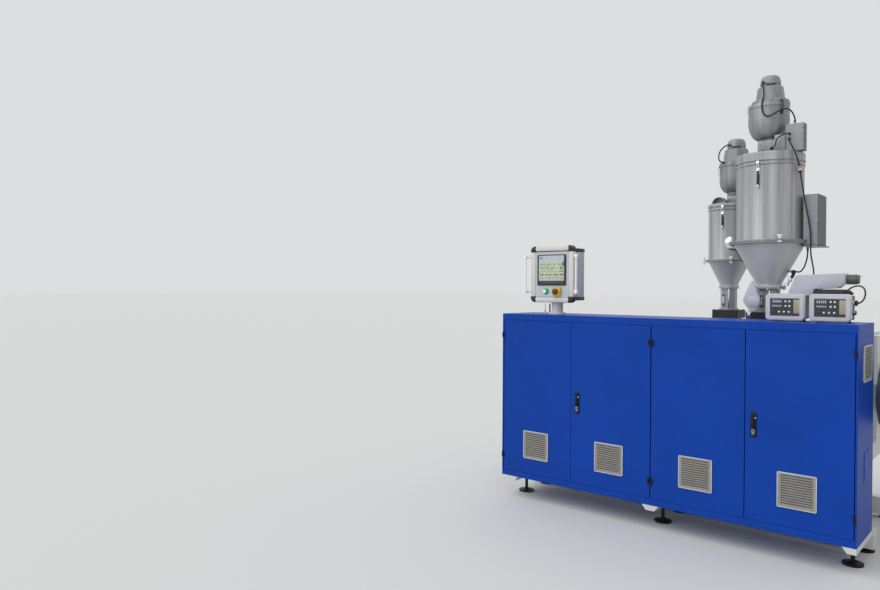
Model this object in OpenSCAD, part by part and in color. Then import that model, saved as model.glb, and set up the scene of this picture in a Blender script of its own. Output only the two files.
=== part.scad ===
// Single screw plastic extruder with its switch cabinet and two hopper loaders.
// X runs along the machine, Y from the door side to the back, Z up from the floor.
// Places are measured from the cabinet's right front corner, then moved so that
// the origin is the bottom centre of the whole machine.

/* [Cabinet] */
// Length of the cabinet
cab_l = 2530; // [2300:10:2600]
// Depth of the cabinet
cab_d = 440; // [420:5:460]
// Height of the cabinet
cab_h = 1300; // [1250:10:1350]
// Height of the cabinet's underside above the floor
cab_lift = 165; // [160:1:200]
// Thickness of the cabinet's sheet steel
sheet = 3; // [2:0.5:4]
// Height of the lid's band above the doors
lid_band = 47; // [40:1:55]
// Height of the plinth rail below the doors
plinth_h = 45; // [40:1:55]
// Width of the end panels' front return
strip = 10; // [9:0.5:12]
// Depth of the front rails and posts behind the doors
rail_d = 40; // [30:1:60]
// Width of the end posts
post_w = 40; // [30:1:60]
// Height that the top rail hangs behind the doors' top edges
top_rail_h = 35; // [30:1:50]

/* [Doors] */
// Thickness of a door
door_t = 20; // [18:0.5:24]
// Gap round each door
door_gap = 6; // [5:0.5:8]
// Gap between the two middle doors
mid_gap = 8; // [8:0.5:10]
// Clear depth between a closed door and the posts
seal_gap = 5; // [5:0.5:8]
// Width of the folded rim round a door's back
door_rim = 30; // [20:1:40]
// Height of the lower hinges above the cabinet's underside
hinge_low = 166; // [150:1:200]
// Height of the upper hinges above the cabinet's underside
hinge_high = 1129; // [1050:1:1160]
// Height of one hinge
hinge_h = 38; // [30:1:50]
// Radius of a hinge knuckle
knuckle_r = 7; // [6:0.5:7.5]
// Radius of a hinge pin
pin_r = 3; // [2:0.5:3.5]
// Distance of the hinge axes in front of the doors
hinge_out = 8; // [8:0.5:10]
// Distance of the middle doors' hinge axes from the middle seam
hinge_mid = 10; // [9.5:0.5:12]
// Width of a lever lock
lock_w = 30; // [24:1:36]
// Height of a lever lock
lock_h = 152; // [140:1:170]
// Height that a lever lock stands proud of its door
lock_out = 16; // [10:0.5:16]
// Distance of a lever lock's centre from its door's free edge
lock_inset = 52; // [40:1:70]

/* [Vents] */
// Width of a filter vent
vent_w = 225; // [200:1:240]
// Height of a filter vent
vent_h = 217; // [200:1:240]
// Height that a vent stands proud
vent_out = 8; // [6:0.5:12]
// Width of the plain frame round a vent's slots
vent_rim = 16; // [12:1:24]
// Number of slots in a vent
vent_slots = 12; // [6:1:14]
// Height of a vent's centre above the cabinet's underside
vent_z = 274; // [260:1:300]
// Height of the end vent's centre above the cabinet's underside
end_vent_z = 1062; // [1000:1:1100]
// Distance of the end vent's centre behind the doors
end_vent_y = 243; // [200:1:260]

/* [Base frame] */
// Width and height of the base rails
rail = [80, 125]; // [60:1:150]
// Distance of the front rail's face behind the doors
rail_front = 500; // [480:5:560]
// Distance of the back rail's back behind the doors
rail_back = 1440; // [1400:5:1500]
// Overhang of the base rails beyond the cabinet's left end
rail_over = 30; // [0:5:80]
// Height of the levelling feet under the rails
foot_h = 25; // [20:1:40]
// Height of the beams that carry the cabinet
beam_h = 37; // [30:1:45]
// Width of those beams across their tops
beam_w = 118; // [100:1:140]
// Width of those beams across their undersides
beam_foot_w = 64; // [40:1:90]
// Height of the machine deck's top above the floor
deck_z = 680; // [650:5:720]
// Height of the deck's edge beams with its plate
deck_t = 110; // [80:1:130]
// Thickness of the deck's plate
deck_plate = 12; // [8:1:20]
// Width of a deck leg
leg = 80; // [60:1:100]

/* [Extruder] */
// Height of the barrel's axis above the floor
axis_z = 1170; // [1150:5:1190]
// Distance of the main barrel's axis behind the doors
main_y = 850; // [840:5:870]
// Distance of the main hopper left of the cabinet's right end
main_x = 745; // [720:5:770]
// Distance of the side barrel's axis behind the doors
side_y = 1200; // [1190:5:1230]
// Distance of the side hopper left of the cabinet's right end
side_x = 1153; // [1140:5:1200]
// Distance of the main die flange left of the cabinet's right end
die_x = 2700; // [2650:5:2800]
// Distance of the side die flange left of the cabinet's right end
side_die_x = 2450; // [2400:5:2500]
// Bore radius of the main and the side barrel
bore_r = [32.5, 22.5]; // [20:0.5:45]
// Outer radius of the two barrels
barrel_r = [60, 45]; // [40:1:70]
// Radius of the heater bands round the two barrels
band_r = [88, 68]; // [60:1:100]
// Radius of the die flanges
flange_r = [110, 80]; // [70:1:130]
// Thickness of the die flanges
flange_t = 45; // [30:1:60]
// Bolt circle of the die flanges
flange_pcd = [180, 128]; // [120:1:200]
// Radius of the die flanges' bolt holes
flange_hole = 7; // [5:0.5:9]
// Half width and half height of the barrel covers
guard = [150, 110]; // [90:5:180]
// Half width of the two gearboxes
gearbox_w = [190, 110]; // [90:5:220]
// Height of the two gearboxes above their barrel's axis
gearbox_up = [215, 130]; // [100:5:240]
// Drop from the barrel's axis to the motor's axis
motor_drop = [200, 110]; // [80:5:240]
// Radius of the two motors over their cooling fins
motor_r = [195, 100]; // [80:5:220]

/* [Hoppers] */
// Height of the hopper throats' undersides above the floor
throat_z = 1503; // [1490:1:1520]
// Height of a hopper throat
throat_h = 183; // [170:1:190]
// Radius of the main and the side throat
throat_r = [78, 62]; // [50:1:90]
// Radius of the throats' flanges
throat_flange = [115, 75]; // [70:1:130]
// Height of the main cone
main_cone_h = 352; // [330:1:370]
// Height of the main drum with its flanges
main_drum_h = 544; // [500:1:600]
// Radius of the main drum
main_r = 228; // [200:1:240]
// Height of the side cone
side_cone_h = 210; // [190:1:230]
// Height of the side drum with its flanges
side_drum_h = 429; // [400:1:450]
// Radius of the side drum
side_r = 158; // [140:1:170]
// Wall thickness of the drums and cones
wall = 3; // [2:0.5:5]
// Height of the main lid's rim
main_lid_h = 66; // [50:1:80]
// Height of the side lid's rim
side_lid_h = 28; // [25:1:40]
// Width of the flange at the foot of a drum
drum_flange = 20; // [14:1:26]

/* [Loaders] */
// Radius of a vacuum loader
loader_r = 125; // [115:1:135]
// Height of the round bottom of the main and the side loader
bowl_h = [136, 104]; // [90:1:150]
// Radius of a loader's neck
neck_r = 60; // [50:1:70]
// Height of a loader's straight part
loader_h = 120; // [100:1:130]
// Height of the box under the main loader
main_base_h = 112; // [90:1:130]
// Height of the box under the side loader
side_base_h = 82; // [70:1:100]
// Offset of the side loader from its hopper's axis
side_loader_dx = 50; // [40:1:60]

/* [Hidden] */
$fn = 96;

cab_top = cab_lift + cab_h;
pitch = cab_l / 4;
post_y = door_t + seal_gap;
door_z0 = cab_lift + plinth_h + door_gap;
door_z1 = cab_top - lid_band - door_gap;
rail_top = foot_h + rail.y;
motor_end = 700;
x_low = -die_x;
x_high = motor_end;
y_low = -lock_out;
y_high = rail_back - rail.x / 2 + 60;
x_mid = (x_low + x_high) / 2;
y_mid = (y_low + y_high) / 2;

// Left and right edge of each door, and its hinge axis and side
door_left = [
  -cab_l + strip + door_gap,
  -3 * pitch + door_gap / 2,
  -2 * pitch + mid_gap / 2,
  -pitch + door_gap / 2
];
door_right = [
  -3 * pitch - door_gap / 2,
  -2 * pitch - mid_gap / 2,
  -pitch - door_gap / 2,
  -strip - door_gap
];
axis_x = [-cab_l + strip, -2 * pitch - hinge_mid, -2 * pitch + hinge_mid, -strip];
hinge_side = [-1, 1, -1, 1];

// Places of the main and the side barrel
barrel_y = [main_y, side_y];
feed_x = [-main_x, -side_x];
tip_x = [-die_x, -side_die_x];
feed_half = [130, 105];
guard_x0 = [for (k = [0, 1]) tip_x[k] + 80];
guard_x1 = [for (k = [0, 1]) feed_x[k] - feed_half[k] - 30];
gearbox_x0 = [for (k = [0, 1]) feed_x[k] + feed_half[k] + 15];
gearbox_x1 = [-20, -side_x + 430];
motor_x1 = [motor_end, -side_x + 830];

module placed() {
  translate([-x_mid, -y_mid, 0])
    children();
}

module slab(low, high) {
  translate(low)
    cube(high - low);
}

// Cylinder along Y that starts at the given point
module rod_y(at, r, l) {
  translate(at)
    rotate([-90, 0, 0])
      cylinder(r = r, h = l);
}

// Cylinder along X that starts at the given point
module rod_x(at, r, l) {
  translate(at)
    rotate([0, 90, 0])
      cylinder(r = r, h = l);
}

module base_rails() {
  color("white")
    placed()
      for (y = [rail_front, rail_back - rail.x])
        slab([-cab_l - rail_over, y, foot_h], [0, y + rail.x, rail_top]);
}

// Beam of trapezium section under the cabinet, centred on x
module cabinet_beam(x0, x1) {
  inset = (beam_w - beam_foot_w) / 2;
  translate([0, rail_front, cab_lift - beam_h])
    rotate([90, 0, 0])
      linear_extrude(rail_front)
        polygon([[x0, beam_h], [x1, beam_h], [x1 == 0 ? 0 : x1 - inset, 0], [x0 + inset, 0]]);
}

module cross_beams() {
  color("white")
    placed() {
      for (x = [-cab_l + 90, -2 * pitch])
        cabinet_beam(x - beam_w / 2, x + beam_w / 2);
      cabinet_beam(-beam_w * 0.65, 0);
      for (x = [-cab_l + 90, -2 * pitch, -400])
        slab([x - leg / 2, rail_front + rail.x, rail_top - 90],
             [x + leg / 2, rail_back - rail.x, rail_top - 20]);
    }
}

module deck_legs() {
  color("white")
    placed()
      for (x = [-cab_l + 90, -2 * pitch, -400], y = [rail_front, rail_back - leg])
        slab([x - leg / 2, y, rail_top], [x + leg / 2, y + leg, deck_z - deck_t]);
}

module machine_deck() {
  x0 = -cab_l - rail_over;
  color("white")
    placed() {
      slab([x0, rail_front, deck_z - deck_plate], [-30, rail_back, deck_z]);
      for (y = [rail_front, rail_back - leg])
        slab([x0, y, deck_z - deck_t], [-30, y + leg, deck_z - deck_plate]);
      for (x = [x0, -2 * pitch - leg / 2, -30 - leg])
        slab([x, rail_front + leg, deck_z - deck_t], [x + leg, rail_back - leg, deck_z - deck_plate]);
    }
}

// Posts that carry the barrel covers on the deck
module barrel_supports() {
  color("white")
    placed()
      for (k = [0, 1], x = [guard_x0[k] + 60, guard_x1[k] - 120])
        translate([x, barrel_y[k] - 30, deck_z]) {
          cube([60, 60, axis_z - guard[k] - deck_z]);
          translate([-20, -20, 0])
            cube([100, 100, 10]);
        }
}

module levelling_foot(x, y, h) {
  translate([x, y, 0]) {
    cylinder(r = 60, h = 12);
    translate([0, 0, 12])
      cylinder(r1 = 45, r2 = 25, h = 8);
    cylinder(r = 12, h = h);
  }
}

module levelling_feet() {
  color("dimgray")
    placed() {
      for (x = [-cab_l + 90, -2 * pitch, -60])
        levelling_foot(x, cab_d / 2, cab_lift - beam_h);
      for (x = [-cab_l + 90, -2 * pitch, -60], y = [rail_front + rail.x / 2, rail_back - rail.x / 2])
        levelling_foot(x, y, foot_h);
    }
}

module cabinet_floor() {
  color("royalblue")
    placed()
      slab([-cab_l + sheet, post_y + rail_d, cab_lift], [-sheet, cab_d - sheet, cab_lift + sheet]);
}

module cabinet_back() {
  color("royalblue")
    placed()
      slab([-cab_l + sheet, cab_d - sheet, cab_lift], [-sheet, cab_d, cab_top - lid_band]);
}

module cabinet_ends() {
  color("royalblue")
    placed() {
      slab([-cab_l, 0, cab_lift], [-cab_l + sheet, cab_d, cab_top - lid_band]);
      slab([-cab_l, 0, cab_lift], [-cab_l + strip, sheet, cab_top - lid_band]);
      difference() {
        union() {
          slab([-sheet, 0, cab_lift], [0, cab_d, cab_top - lid_band]);
          slab([-strip, 0, cab_lift], [0, sheet, cab_top - lid_band]);
          slab([-sheet, 185, cab_lift + 350], [sheet, 330, cab_lift + 530]);
        }
        translate([-2 * sheet,
                   end_vent_y - vent_w / 2 + vent_rim,
                   cab_lift + end_vent_z - vent_h / 2 + vent_rim])
          cube([4 * sheet, vent_w - 2 * vent_rim, vent_h - 2 * vent_rim]);
      }
    }
}

module cabinet_lid() {
  color("royalblue")
    placed()
      difference() {
        slab([-cab_l, 0, cab_top - lid_band], [0, cab_d, cab_top]);
        slab([-cab_l + sheet, sheet, cab_top - lid_band - 1], [-sheet, cab_d - sheet, cab_top - sheet]);
      }
}

module front_rails() {
  color("royalblue")
    placed() {
      slab([-cab_l + strip, 0, cab_lift], [-strip, post_y + rail_d, cab_lift + plinth_h]);
      slab([-cab_l + sheet, post_y, cab_top - lid_band - top_rail_h],
           [-sheet, post_y + rail_d, cab_top - sheet]);
    }
}

module front_posts() {
  z0 = cab_lift + plinth_h;
  z1 = cab_top - lid_band - top_rail_h;
  color("royalblue")
    placed()
      for (x = [-cab_l + sheet, -2 * pitch - post_w / 2, -sheet - post_w])
        slab([x, post_y, z0], [x + post_w, post_y + rail_d, z1]);
}

module mounting_plates() {
  color("silver")
    placed()
      for (k = [0, 1]) {
        x0 = -cab_l + 2 * pitch * k + 90;
        x1 = x0 + 2 * pitch - 180;
        slab([x0, cab_d - 60, cab_lift + 120], [x1, cab_d - 60 + sheet, cab_top - 150]);
        for (x = [x0 + 40, x1 - 40], z = [cab_lift + 160, cab_top - 190])
          rod_y([x, cab_d - 60, z], 8, 60 - sheet);
      }
}

// Outline with round corners about the origin
module rounded(w, h, r) {
  square([w - 2 * r, h], center = true);
  square([w, h - 2 * r], center = true);
  for (x = [-1, 1], y = [-1, 1])
    translate([x * (w / 2 - r), y * (h / 2 - r)])
      circle(r = r, $fn = 32);
}

// Upright plate with round corners, centred on x and z, from y to y + t
module panel(at, w, h, r, t) {
  translate(at + [0, t, 0])
    rotate([90, 0, 0])
      linear_extrude(t)
        rounded(w, h, r);
}

// Louvred filter vent, its back on y = 0 and its slots open downwards
module vent() {
  open_w = vent_w - 2 * vent_rim;
  open_h = vent_h - 2 * vent_rim;
  step = open_h / vent_slots;
  difference() {
    union() {
      panel([0, -vent_out, 0], vent_w - 4, vent_h - 4, 6, vent_out);
      panel([0, -vent_out * 0.6, 0], vent_w, vent_h, 7, vent_out * 0.6);
      slab([-open_w / 2 + 1, -1, -open_h / 2 + 1], [open_w / 2 - 1, 14, open_h / 2 - 1]);
    }
    for (k = [0 : vent_slots - 1])
      translate([0, 0, -open_h / 2 + step * (k + 0.5)])
        rotate([-35, 0, 0])
          cube([open_w - 12, 60, step * 0.42], center = true);
  }
}

module end_vent() {
  color("silver")
    placed()
      translate([0, end_vent_y, cab_lift + end_vent_z])
        rotate([0, 0, 90])
          vent();
}

// Moving knuckle at the origin, the door lies towards -X
module moving_knuckle() {
  difference() {
    union() {
      translate([0, 0, 0.5])
        cylinder(r = knuckle_r, h = hinge_h / 2 - 0.5);
      slab([-16, 0, 0.5], [0, hinge_out, hinge_h / 2]);
    }
    translate([0, 0, -1])
      cylinder(r = pin_r + 0.3, h = hinge_h);
  }
}

module hinge_places(n) {
  for (z = [hinge_low, hinge_high])
    translate([axis_x[n], -hinge_out, cab_lift + z])
      scale_side(hinge_side[n])
        children();
}

// Mirrors its child left to right where the side is -1
module scale_side(side) {
  if (side < 0)
    mirror([1, 0, 0])
      children();
  else
    children();
}

module hinge_brackets() {
  color("black")
    placed() {
      for (n = [0, 3])
        hinge_places(n) {
          union() {
            translate([0, 0, -hinge_h / 2])
              cylinder(r = knuckle_r, h = hinge_h / 2);
            translate([0, 0, -hinge_h / 2])
              cylinder(r = pin_r, h = hinge_h);
            slab([0, 0, -hinge_h / 2], [strip - 1, hinge_out, 0]);
          }
        }
      for (z = [hinge_low, hinge_high])
        translate([-2 * pitch, 0, cab_lift + z]) {
          slab([-2, -hinge_out - 5, -hinge_h / 2], [2, post_y, 0]);
          for (s = [-1, 1]) {
            translate([s * hinge_mid, -hinge_out, -hinge_h / 2]) {
              cylinder(r = knuckle_r, h = hinge_h / 2);
              cylinder(r = pin_r, h = hinge_h);
            }
            slab([min(0, s * hinge_mid), -hinge_out - 5, -hinge_h / 2],
                 [max(0, s * hinge_mid), -hinge_out + 5, 0]);
          }
        }
    }
}

module door(n) {
  x0 = door_left[n];
  x1 = door_right[n];
  color("royalblue")
    placed() {
      difference() {
        slab([x0, 0, door_z0], [x1, door_t, door_z1]);
        slab([x0 + door_rim, 2, door_z0 + door_rim], [x1 - door_rim, door_t + 1, door_z1 - door_rim]);
        translate([(x0 + x1) / 2, 0, cab_lift + vent_z])
          cube([vent_w - 2 * vent_rim, 3 * door_t, vent_h - 2 * vent_rim], center = true);
      }
      hinge_places(n)
        moving_knuckle();
    }
}

module door_1() { door(0); }
module door_2() { door(1); }
module door_3() { door(2); }
module door_4() { door(3); }

module door_vent(n) {
  color("beige")
    placed()
      translate([(door_left[n] + door_right[n]) / 2, 0, cab_lift + vent_z])
        vent();
}

module vent_1() { door_vent(0); }
module vent_2() { door_vent(1); }
module vent_3() { door_vent(2); }
module vent_4() { door_vent(3); }

// Lever lock: round-ended plate, raised lever that narrows, and key barrel
module lever_lock(n) {
  lever = lock_w * 0.62;
  color("black")
    placed()
      translate([door_left[n] + lock_inset, 0, cab_lift + cab_h / 2]) {
        panel([0, -5, 0], lock_w, lock_h, lock_w / 2 - 0.01, 5);
        difference() {
          panel([0, -lock_out, -lock_h * 0.1], lever, lock_h * 0.66, lever / 2 - 0.01, lock_out - 4);
          translate([-lock_w, -lock_out - 12, -lock_h * 0.46])
            rotate([-14, 0, 0])
              cube([2 * lock_w, 12, lock_h * 0.3]);
        }
        rod_y([0, -lock_out + 3, lock_h * 0.34], lock_w * 0.32, lock_out - 4);
      }
}

module lock_2() { lever_lock(1); }
module lock_4() { lever_lock(3); }

// Operator panel on its post
panel_x = -cab_l + 394;
panel_w = 390;
panel_h = 425;
panel_d = 180;
panel_y = 100;
panel_z = cab_top + 93;
panel_mid = [panel_x, panel_y, panel_z + panel_h / 2];
corner = 36;
edge_r = 14;
face_w = 292;
face_h = 333;
face_in = 5;
bezel_w = 258;
bezel_h = 241;
bezel_t = 8;
bezel_up = 42;
button_z = panel_z + 88;
handle_out = 38;
handle_r = 8;

module panel_post() {
  color("silver")
    placed()
      translate([panel_x, panel_y + panel_d / 2, cab_top]) {
        cylinder(r = 44, h = panel_z - cab_top);
        cylinder(r = 70, h = 10);
        translate([0, 0, panel_z - cab_top - 12])
          cylinder(r = 47, h = 12);
        for (at = [[-67, -4, 13, 12], [-97, -28, 8, 31]])
          translate([at.x, at.y, 0])
            cylinder(r = at.z, h = at[3]);
      }
}

// Section of an aluminium edge profile, round in front and grooved at its ends
module profile_section(w) {
  difference() {
    translate([0, panel_d / 2])
      rounded(w, panel_d, edge_r);
    for (s = [-1, 1], k = [0 : 6])
      translate([s * w / 2, 42 + 18 * k])
        square([6, 7], center = true);
  }
}

module panel_housing() {
  color("gainsboro")
    placed() {
      difference() {
        union() {
          translate([panel_x, panel_y, panel_z + corner])
            linear_extrude(panel_h - 2 * corner)
              profile_section(panel_w);
          translate([panel_x - panel_w / 2 + corner, panel_y, panel_z + panel_h / 2])
            rotate([90, 0, 90])
              linear_extrude(panel_w - 2 * corner)
                translate([panel_d / 2, 0])
                  rounded(panel_d, panel_h, edge_r);
        }
        panel(panel_mid - [0, 1, 0], face_w, face_h, 3, face_in + 1);
      }
      for (at = [[-55, 65, 11], [-93, 60, 7]])
        translate([panel_x + at.x, panel_y + at.y, panel_z - 12])
          cylinder(r = at.z, h = 14);
    }
}

// Bent round bar with two short legs on each side of the panel
module panel_handles() {
  z0 = panel_z + 82;
  z1 = panel_z + 364;
  color("silver")
    placed()
      for (s = [-1, 1])
        translate([panel_x + s * panel_w / 2, panel_y + 28, 0])
          rotate([0, 0, s < 0 ? 180 : 0]) {
            translate([handle_out, 0, z0])
              cylinder(r = handle_r, h = z1 - z0);
            for (z = [z0, z1]) {
              rod_x([0, 0, z], handle_r, handle_out);
              rod_x([0, 0, z], handle_r + 4, 6);
              translate([handle_out, 0, z])
                sphere(r = handle_r);
            }
          }
}

// Black caps that close the corners between the profiles
module panel_corners() {
  color("black")
    placed()
      for (sx = [-1, 1], sz = [-1, 1])
        translate([panel_x + sx * (panel_w / 2 - corner),
                   panel_y - 1,
                   panel_mid.z + sz * (panel_h / 2 - corner)])
          intersection() {
            slab([min(0, sx * corner), 0, min(0, sz * corner)],
                 [max(0, sx * corner), panel_d + 1, max(0, sz * corner)]);
            union() {
              rod_y([0, 0, 0], corner - 1, panel_d + 1);
              slab([-corner, 24, -corner + 5], [corner, panel_d + 1, corner - 5]);
            }
          }
}

module panel_screen() {
  at = panel_mid + [-1, face_in - bezel_t, bezel_up];
  color("black")
    placed()
      difference() {
        panel(at, bezel_w, bezel_h, 4, bezel_t);
        panel(at + [0, -1, 5], bezel_w - 34, bezel_h - 42, 1, 3);
      }
}

// Lamp button on the left, boxed stop button on the right
module panel_buttons() {
  color("gold")
    placed() {
      rod_y([panel_x - 53, panel_y - 4, button_z], 17, 4 + face_in);
      rod_y([panel_x - 53, panel_y - 14, button_z], 13, 10);
      panel([panel_x + 41, panel_y - 40, button_z], 54, 50, 5, 40 + face_in);
      rod_y([panel_x + 41, panel_y - 52, button_z], 12, 12);
      translate([panel_x + 41, panel_y - 52, button_z])
        rotate([90, 0, 0])
          rotate_extrude()
            polygon([[0, 0], [17, 0], [20, 4], [20, 12], [16, 16], [0, 18]]);
    }
}

// Dosing controllers on the cabinet's lid
ctrl_w = 235;
ctrl_h = 172;
ctrl_y = 200;
ctrl_x = [-457, -197];
ctrl_z = cab_top + 6;
ctrl_mid = ctrl_z + ctrl_h / 2;
frame_t = 30;
face = [176, 114];

// White frame with bevelled round corners round a sunk face
module controller_frames() {
  color("white")
    placed()
      for (x = ctrl_x)
        difference() {
          union() {
            panel([x, ctrl_y, ctrl_mid], ctrl_w - 12, ctrl_h - 12, 22, frame_t);
            panel([x, ctrl_y + 7, ctrl_mid], ctrl_w, ctrl_h, 26, frame_t - 7);
          }
          panel([x, ctrl_y - 1, ctrl_mid], face.x, face.y, 5, 8);
        }
}

module controller_boxes() {
  color("dimgray")
    placed() {
      for (x = ctrl_x) {
        panel([x, ctrl_y + frame_t, ctrl_mid], ctrl_w - 24, ctrl_h - 20, 8, 130);
        for (dx = [-80, 80], y = [ctrl_y + frame_t + 20, ctrl_y + frame_t + 110])
          translate([x + dx, y, cab_top])
            cylinder(r = 10, h = ctrl_z - cab_top + 12);
      }
      for (z = [ctrl_mid - 30, ctrl_mid + 30])
        rod_x([ctrl_x[1] + ctrl_w / 2 - 12, ctrl_y + 95, z], 13, 22);
    }
}

// Dosers at the main hopper's throat
doser_w = 120;
drop_x = -main_x - 54;
drop_len = 150;
seat = 0.3;

module doser_covers() {
  color("lavender")
    placed()
      difference() {
        union() {
          translate([-main_x, main_y + doser_w / 2 - 10, throat_z])
            rotate([90, 0, 0])
              linear_extrude(doser_w)
                polygon([[0, 60], [0, 110], [142, 112], [203, 263], [212, 268], [505, 281],
                         [512, 275], [512, 221], [498, 203], [467, 176], [320, 170], [316, 146],
                         [304, 62]]);
          translate([drop_x, main_y - throat_r[0] + 10, throat_z])
            rotate([90, 0, 0])
              linear_extrude(drop_len)
                hull() {
                  translate([0, 90])
                    circle(r = 57);
                  translate([8, 38])
                    circle(r = 32);
                  translate([4, 219])
                    circle(r = 9);
                }
        }
        translate([-main_x, main_y, throat_z - 10])
          cylinder(r = throat_r[0] + seat, h = throat_h + 10);
        for (z = [throat_z - 10, throat_z + throat_h - flange_edge - seat])
          translate([-main_x, main_y, z])
            cylinder(r = throat_flange[0] + seat, h = 2 * flange_edge + 3 * seat);
        translate([-main_x, main_y, throat_z + throat_h])
          cylinder(r = throat_r[0] + 10 + seat, h = 28.1);
        translate([-main_x, main_y, throat_z + throat_h + 28])
          cylinder(r1 = throat_r[0] + 10 + seat, r2 = throat_r[0] + 32, h = 50);
      }
}

// Motor at the end of the long cover and the gear case below it
module doser_drives() {
  color("dimgray")
    placed()
      translate([-main_x, main_y - 10, throat_z]) {
        rod_x([512.3, 0, 236], 34, 60.7);
        rod_x([573, 0, 236], 30, 14);
        slab([325, -48, 62], [500, 48, 168]);
        rod_y([375, 47, 117], 9, 15);
        rod_y([431, -60, 105], 9, 13);
      }
}

flange_edge = 12;

module hopper_throat(k) {
  r = throat_r[k];
  difference() {
    union() {
      cylinder(r = throat_flange[k], h = flange_edge);
      cylinder(r = r, h = throat_h);
      translate([0, 0, throat_h - flange_edge])
        cylinder(r = throat_flange[k], h = flange_edge);
      rotate([0, 0, -150])
        slab([r - 20, -16, 34], [r + 8, 16, throat_h - 34]);
    }
    rotate([0, 0, -150])
      slab([r + 3, -9, 46], [r + 9, 9, throat_h - 46]);
  }
}

module hopper_throats() {
  color("silver")
    placed()
      for (k = [0, 1])
        translate([feed_x[k], barrel_y[k], throat_z])
          hopper_throat(k);
}

// Conical shell with a neck below, a flange at each end and a bead round its middle
module hopper_cone(r, k, h) {
  neck = throat_r[k] + 10;
  neck_h = 28;
  difference() {
    union() {
      cylinder(r = throat_flange[k], h = 8);
      cylinder(r = neck, h = neck_h);
      translate([0, 0, neck_h])
        cylinder(r1 = neck, r2 = r, h = h - neck_h);
      translate([0, 0, h - 8])
        cylinder(r = r + drum_flange, h = 8);
      translate([0, 0, h - 22])
        cylinder(r1 = r - 8, r2 = r + 3, h = 15);
    }
    translate([0, 0, -1])
      cylinder(r = neck - wall, h = neck_h + 1.01);
    translate([0, 0, neck_h])
      cylinder(r1 = neck - wall, r2 = r - wall, h = h - neck_h + 0.01);
  }
}

main_cone_z = throat_z + throat_h;
side_cone_z = throat_z + throat_h;
main_drum_z = main_cone_z + main_cone_h;
side_drum_z = side_cone_z + side_cone_h;
main_lid_z = main_drum_z + main_drum_h;
side_lid_z = side_drum_z + side_drum_h;

module hopper_cones() {
  color("lightgray")
    placed() {
      translate([-main_x, main_y, main_cone_z]) {
        hopper_cone(main_r, 0, main_cone_h);
        rod_x([110, 0, 114], 8, 50);
      }
      translate([-side_x, side_y, side_cone_z])
        hopper_cone(side_r, 1, side_cone_h);
    }
}

// Drum with a stepped flange at its foot and a rolled bead at its mouth
module hopper_drum(r, h) {
  rotate_extrude($fn = 128)
    polygon([[r - wall, 0], [r + drum_flange, 0], [r + drum_flange, 7], [r + drum_flange - 3, 10],
             [r + 9, 10], [r + 7, 20], [r, 24], [r, h - 30], [r + 5, h - 26], [r + 7, h - 20],
             [r + 5, h - 14], [r, h - 10], [r, h], [r - wall, h]]);
}

module hopper_drums() {
  color("lightgray")
    placed() {
      translate([-main_x, main_y, main_drum_z])
        hopper_drum(main_r, main_drum_h);
      translate([-side_x, side_y, side_drum_z])
        hopper_drum(side_r, side_drum_h);
    }
}

// Shallow dished lid with a deep rolled rim
module hopper_lid(r, h) {
  rotate_extrude($fn = 128)
    polygon([[0, 0], [r + 5, 0], [r + 9, 4], [r + 9, 9], [r + 6, 13], [r + 6, h - 10],
             [r + 3, h - 3], [r - 4, h], [0, h]]);
}

// Half-round air hood on the side lid, open towards the doors
module air_hood(r, l) {
  difference() {
    rod_y([0, 0, 0], r, l);
    rod_y([0, -1, 0], r - 4, l - 4);
    slab([-r - 1, -2, -r - 1], [r + 1, l + 1, 0]);
  }
}

module hopper_lids() {
  color("lightgray")
    placed() {
      translate([-main_x, main_y, main_lid_z])
        hopper_lid(main_r, main_lid_h);
      translate([-side_x, side_y, side_lid_z]) {
        hopper_lid(side_r, side_lid_h);
        translate([-46, -122, side_lid_h])
          air_hood(52, 62);
      }
    }
}

main_loader = [-main_x, main_y, main_lid_z + main_lid_h];
side_loader = [-side_x + side_loader_dx, side_y, side_lid_z + side_lid_h];

// Round-cornered box with a collar, on top of the lid
module loader_base(x0, x1, w, h) {
  translate([(x0 + x1) / 2, 0, 0])
    linear_extrude(h - 10)
      rounded(x1 - x0, w, 12);
  translate([0, 0, h - 10])
    cylinder(r = neck_r + 8, h = 10);
}

module loader_bases() {
  color("lightgray")
    placed() {
      translate(main_loader) {
        loader_base(-112, 134, 190, main_base_h);
        slab([62, -112, 0], [134, -94, main_base_h + 14]);
        rod_y([41, -112, 34], 8, 18);
      }
      translate(side_loader)
        loader_base(-70, 70, 118, side_base_h);
    }
}

// Bowl that rounds out to the straight body, with a rim and an inlet stub behind
module loader_body(bowl) {
  n = 8;
  rotate_extrude($fn = 96)
    polygon(concat([[0, 0], [neck_r + 8, 0], [neck_r + 8, 6]],
                   [for (i = [0 : n])
                     [neck_r + (loader_r - neck_r) * sin(90 * i / n), 6 + (bowl - 6) * (1 - cos(90 * i / n))]],
                   [[loader_r, bowl + loader_h - 14], [loader_r + 7, bowl + loader_h - 10],
                    [loader_r + 7, bowl + loader_h], [0, bowl + loader_h]]));
  rod_y([30, loader_r - 25, bowl + loader_h * 0.45], 25, 65);
  rod_y([30, loader_r + 32, bowl + loader_h * 0.45], 28, 12);
}

module loader_bodies() {
  color("lightgray")
    placed() {
      translate(main_loader + [0, 0, main_base_h])
        loader_body(bowl_h[0]);
      translate(side_loader + [0, 0, side_base_h])
        loader_body(bowl_h[1]);
    }
}

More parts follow.
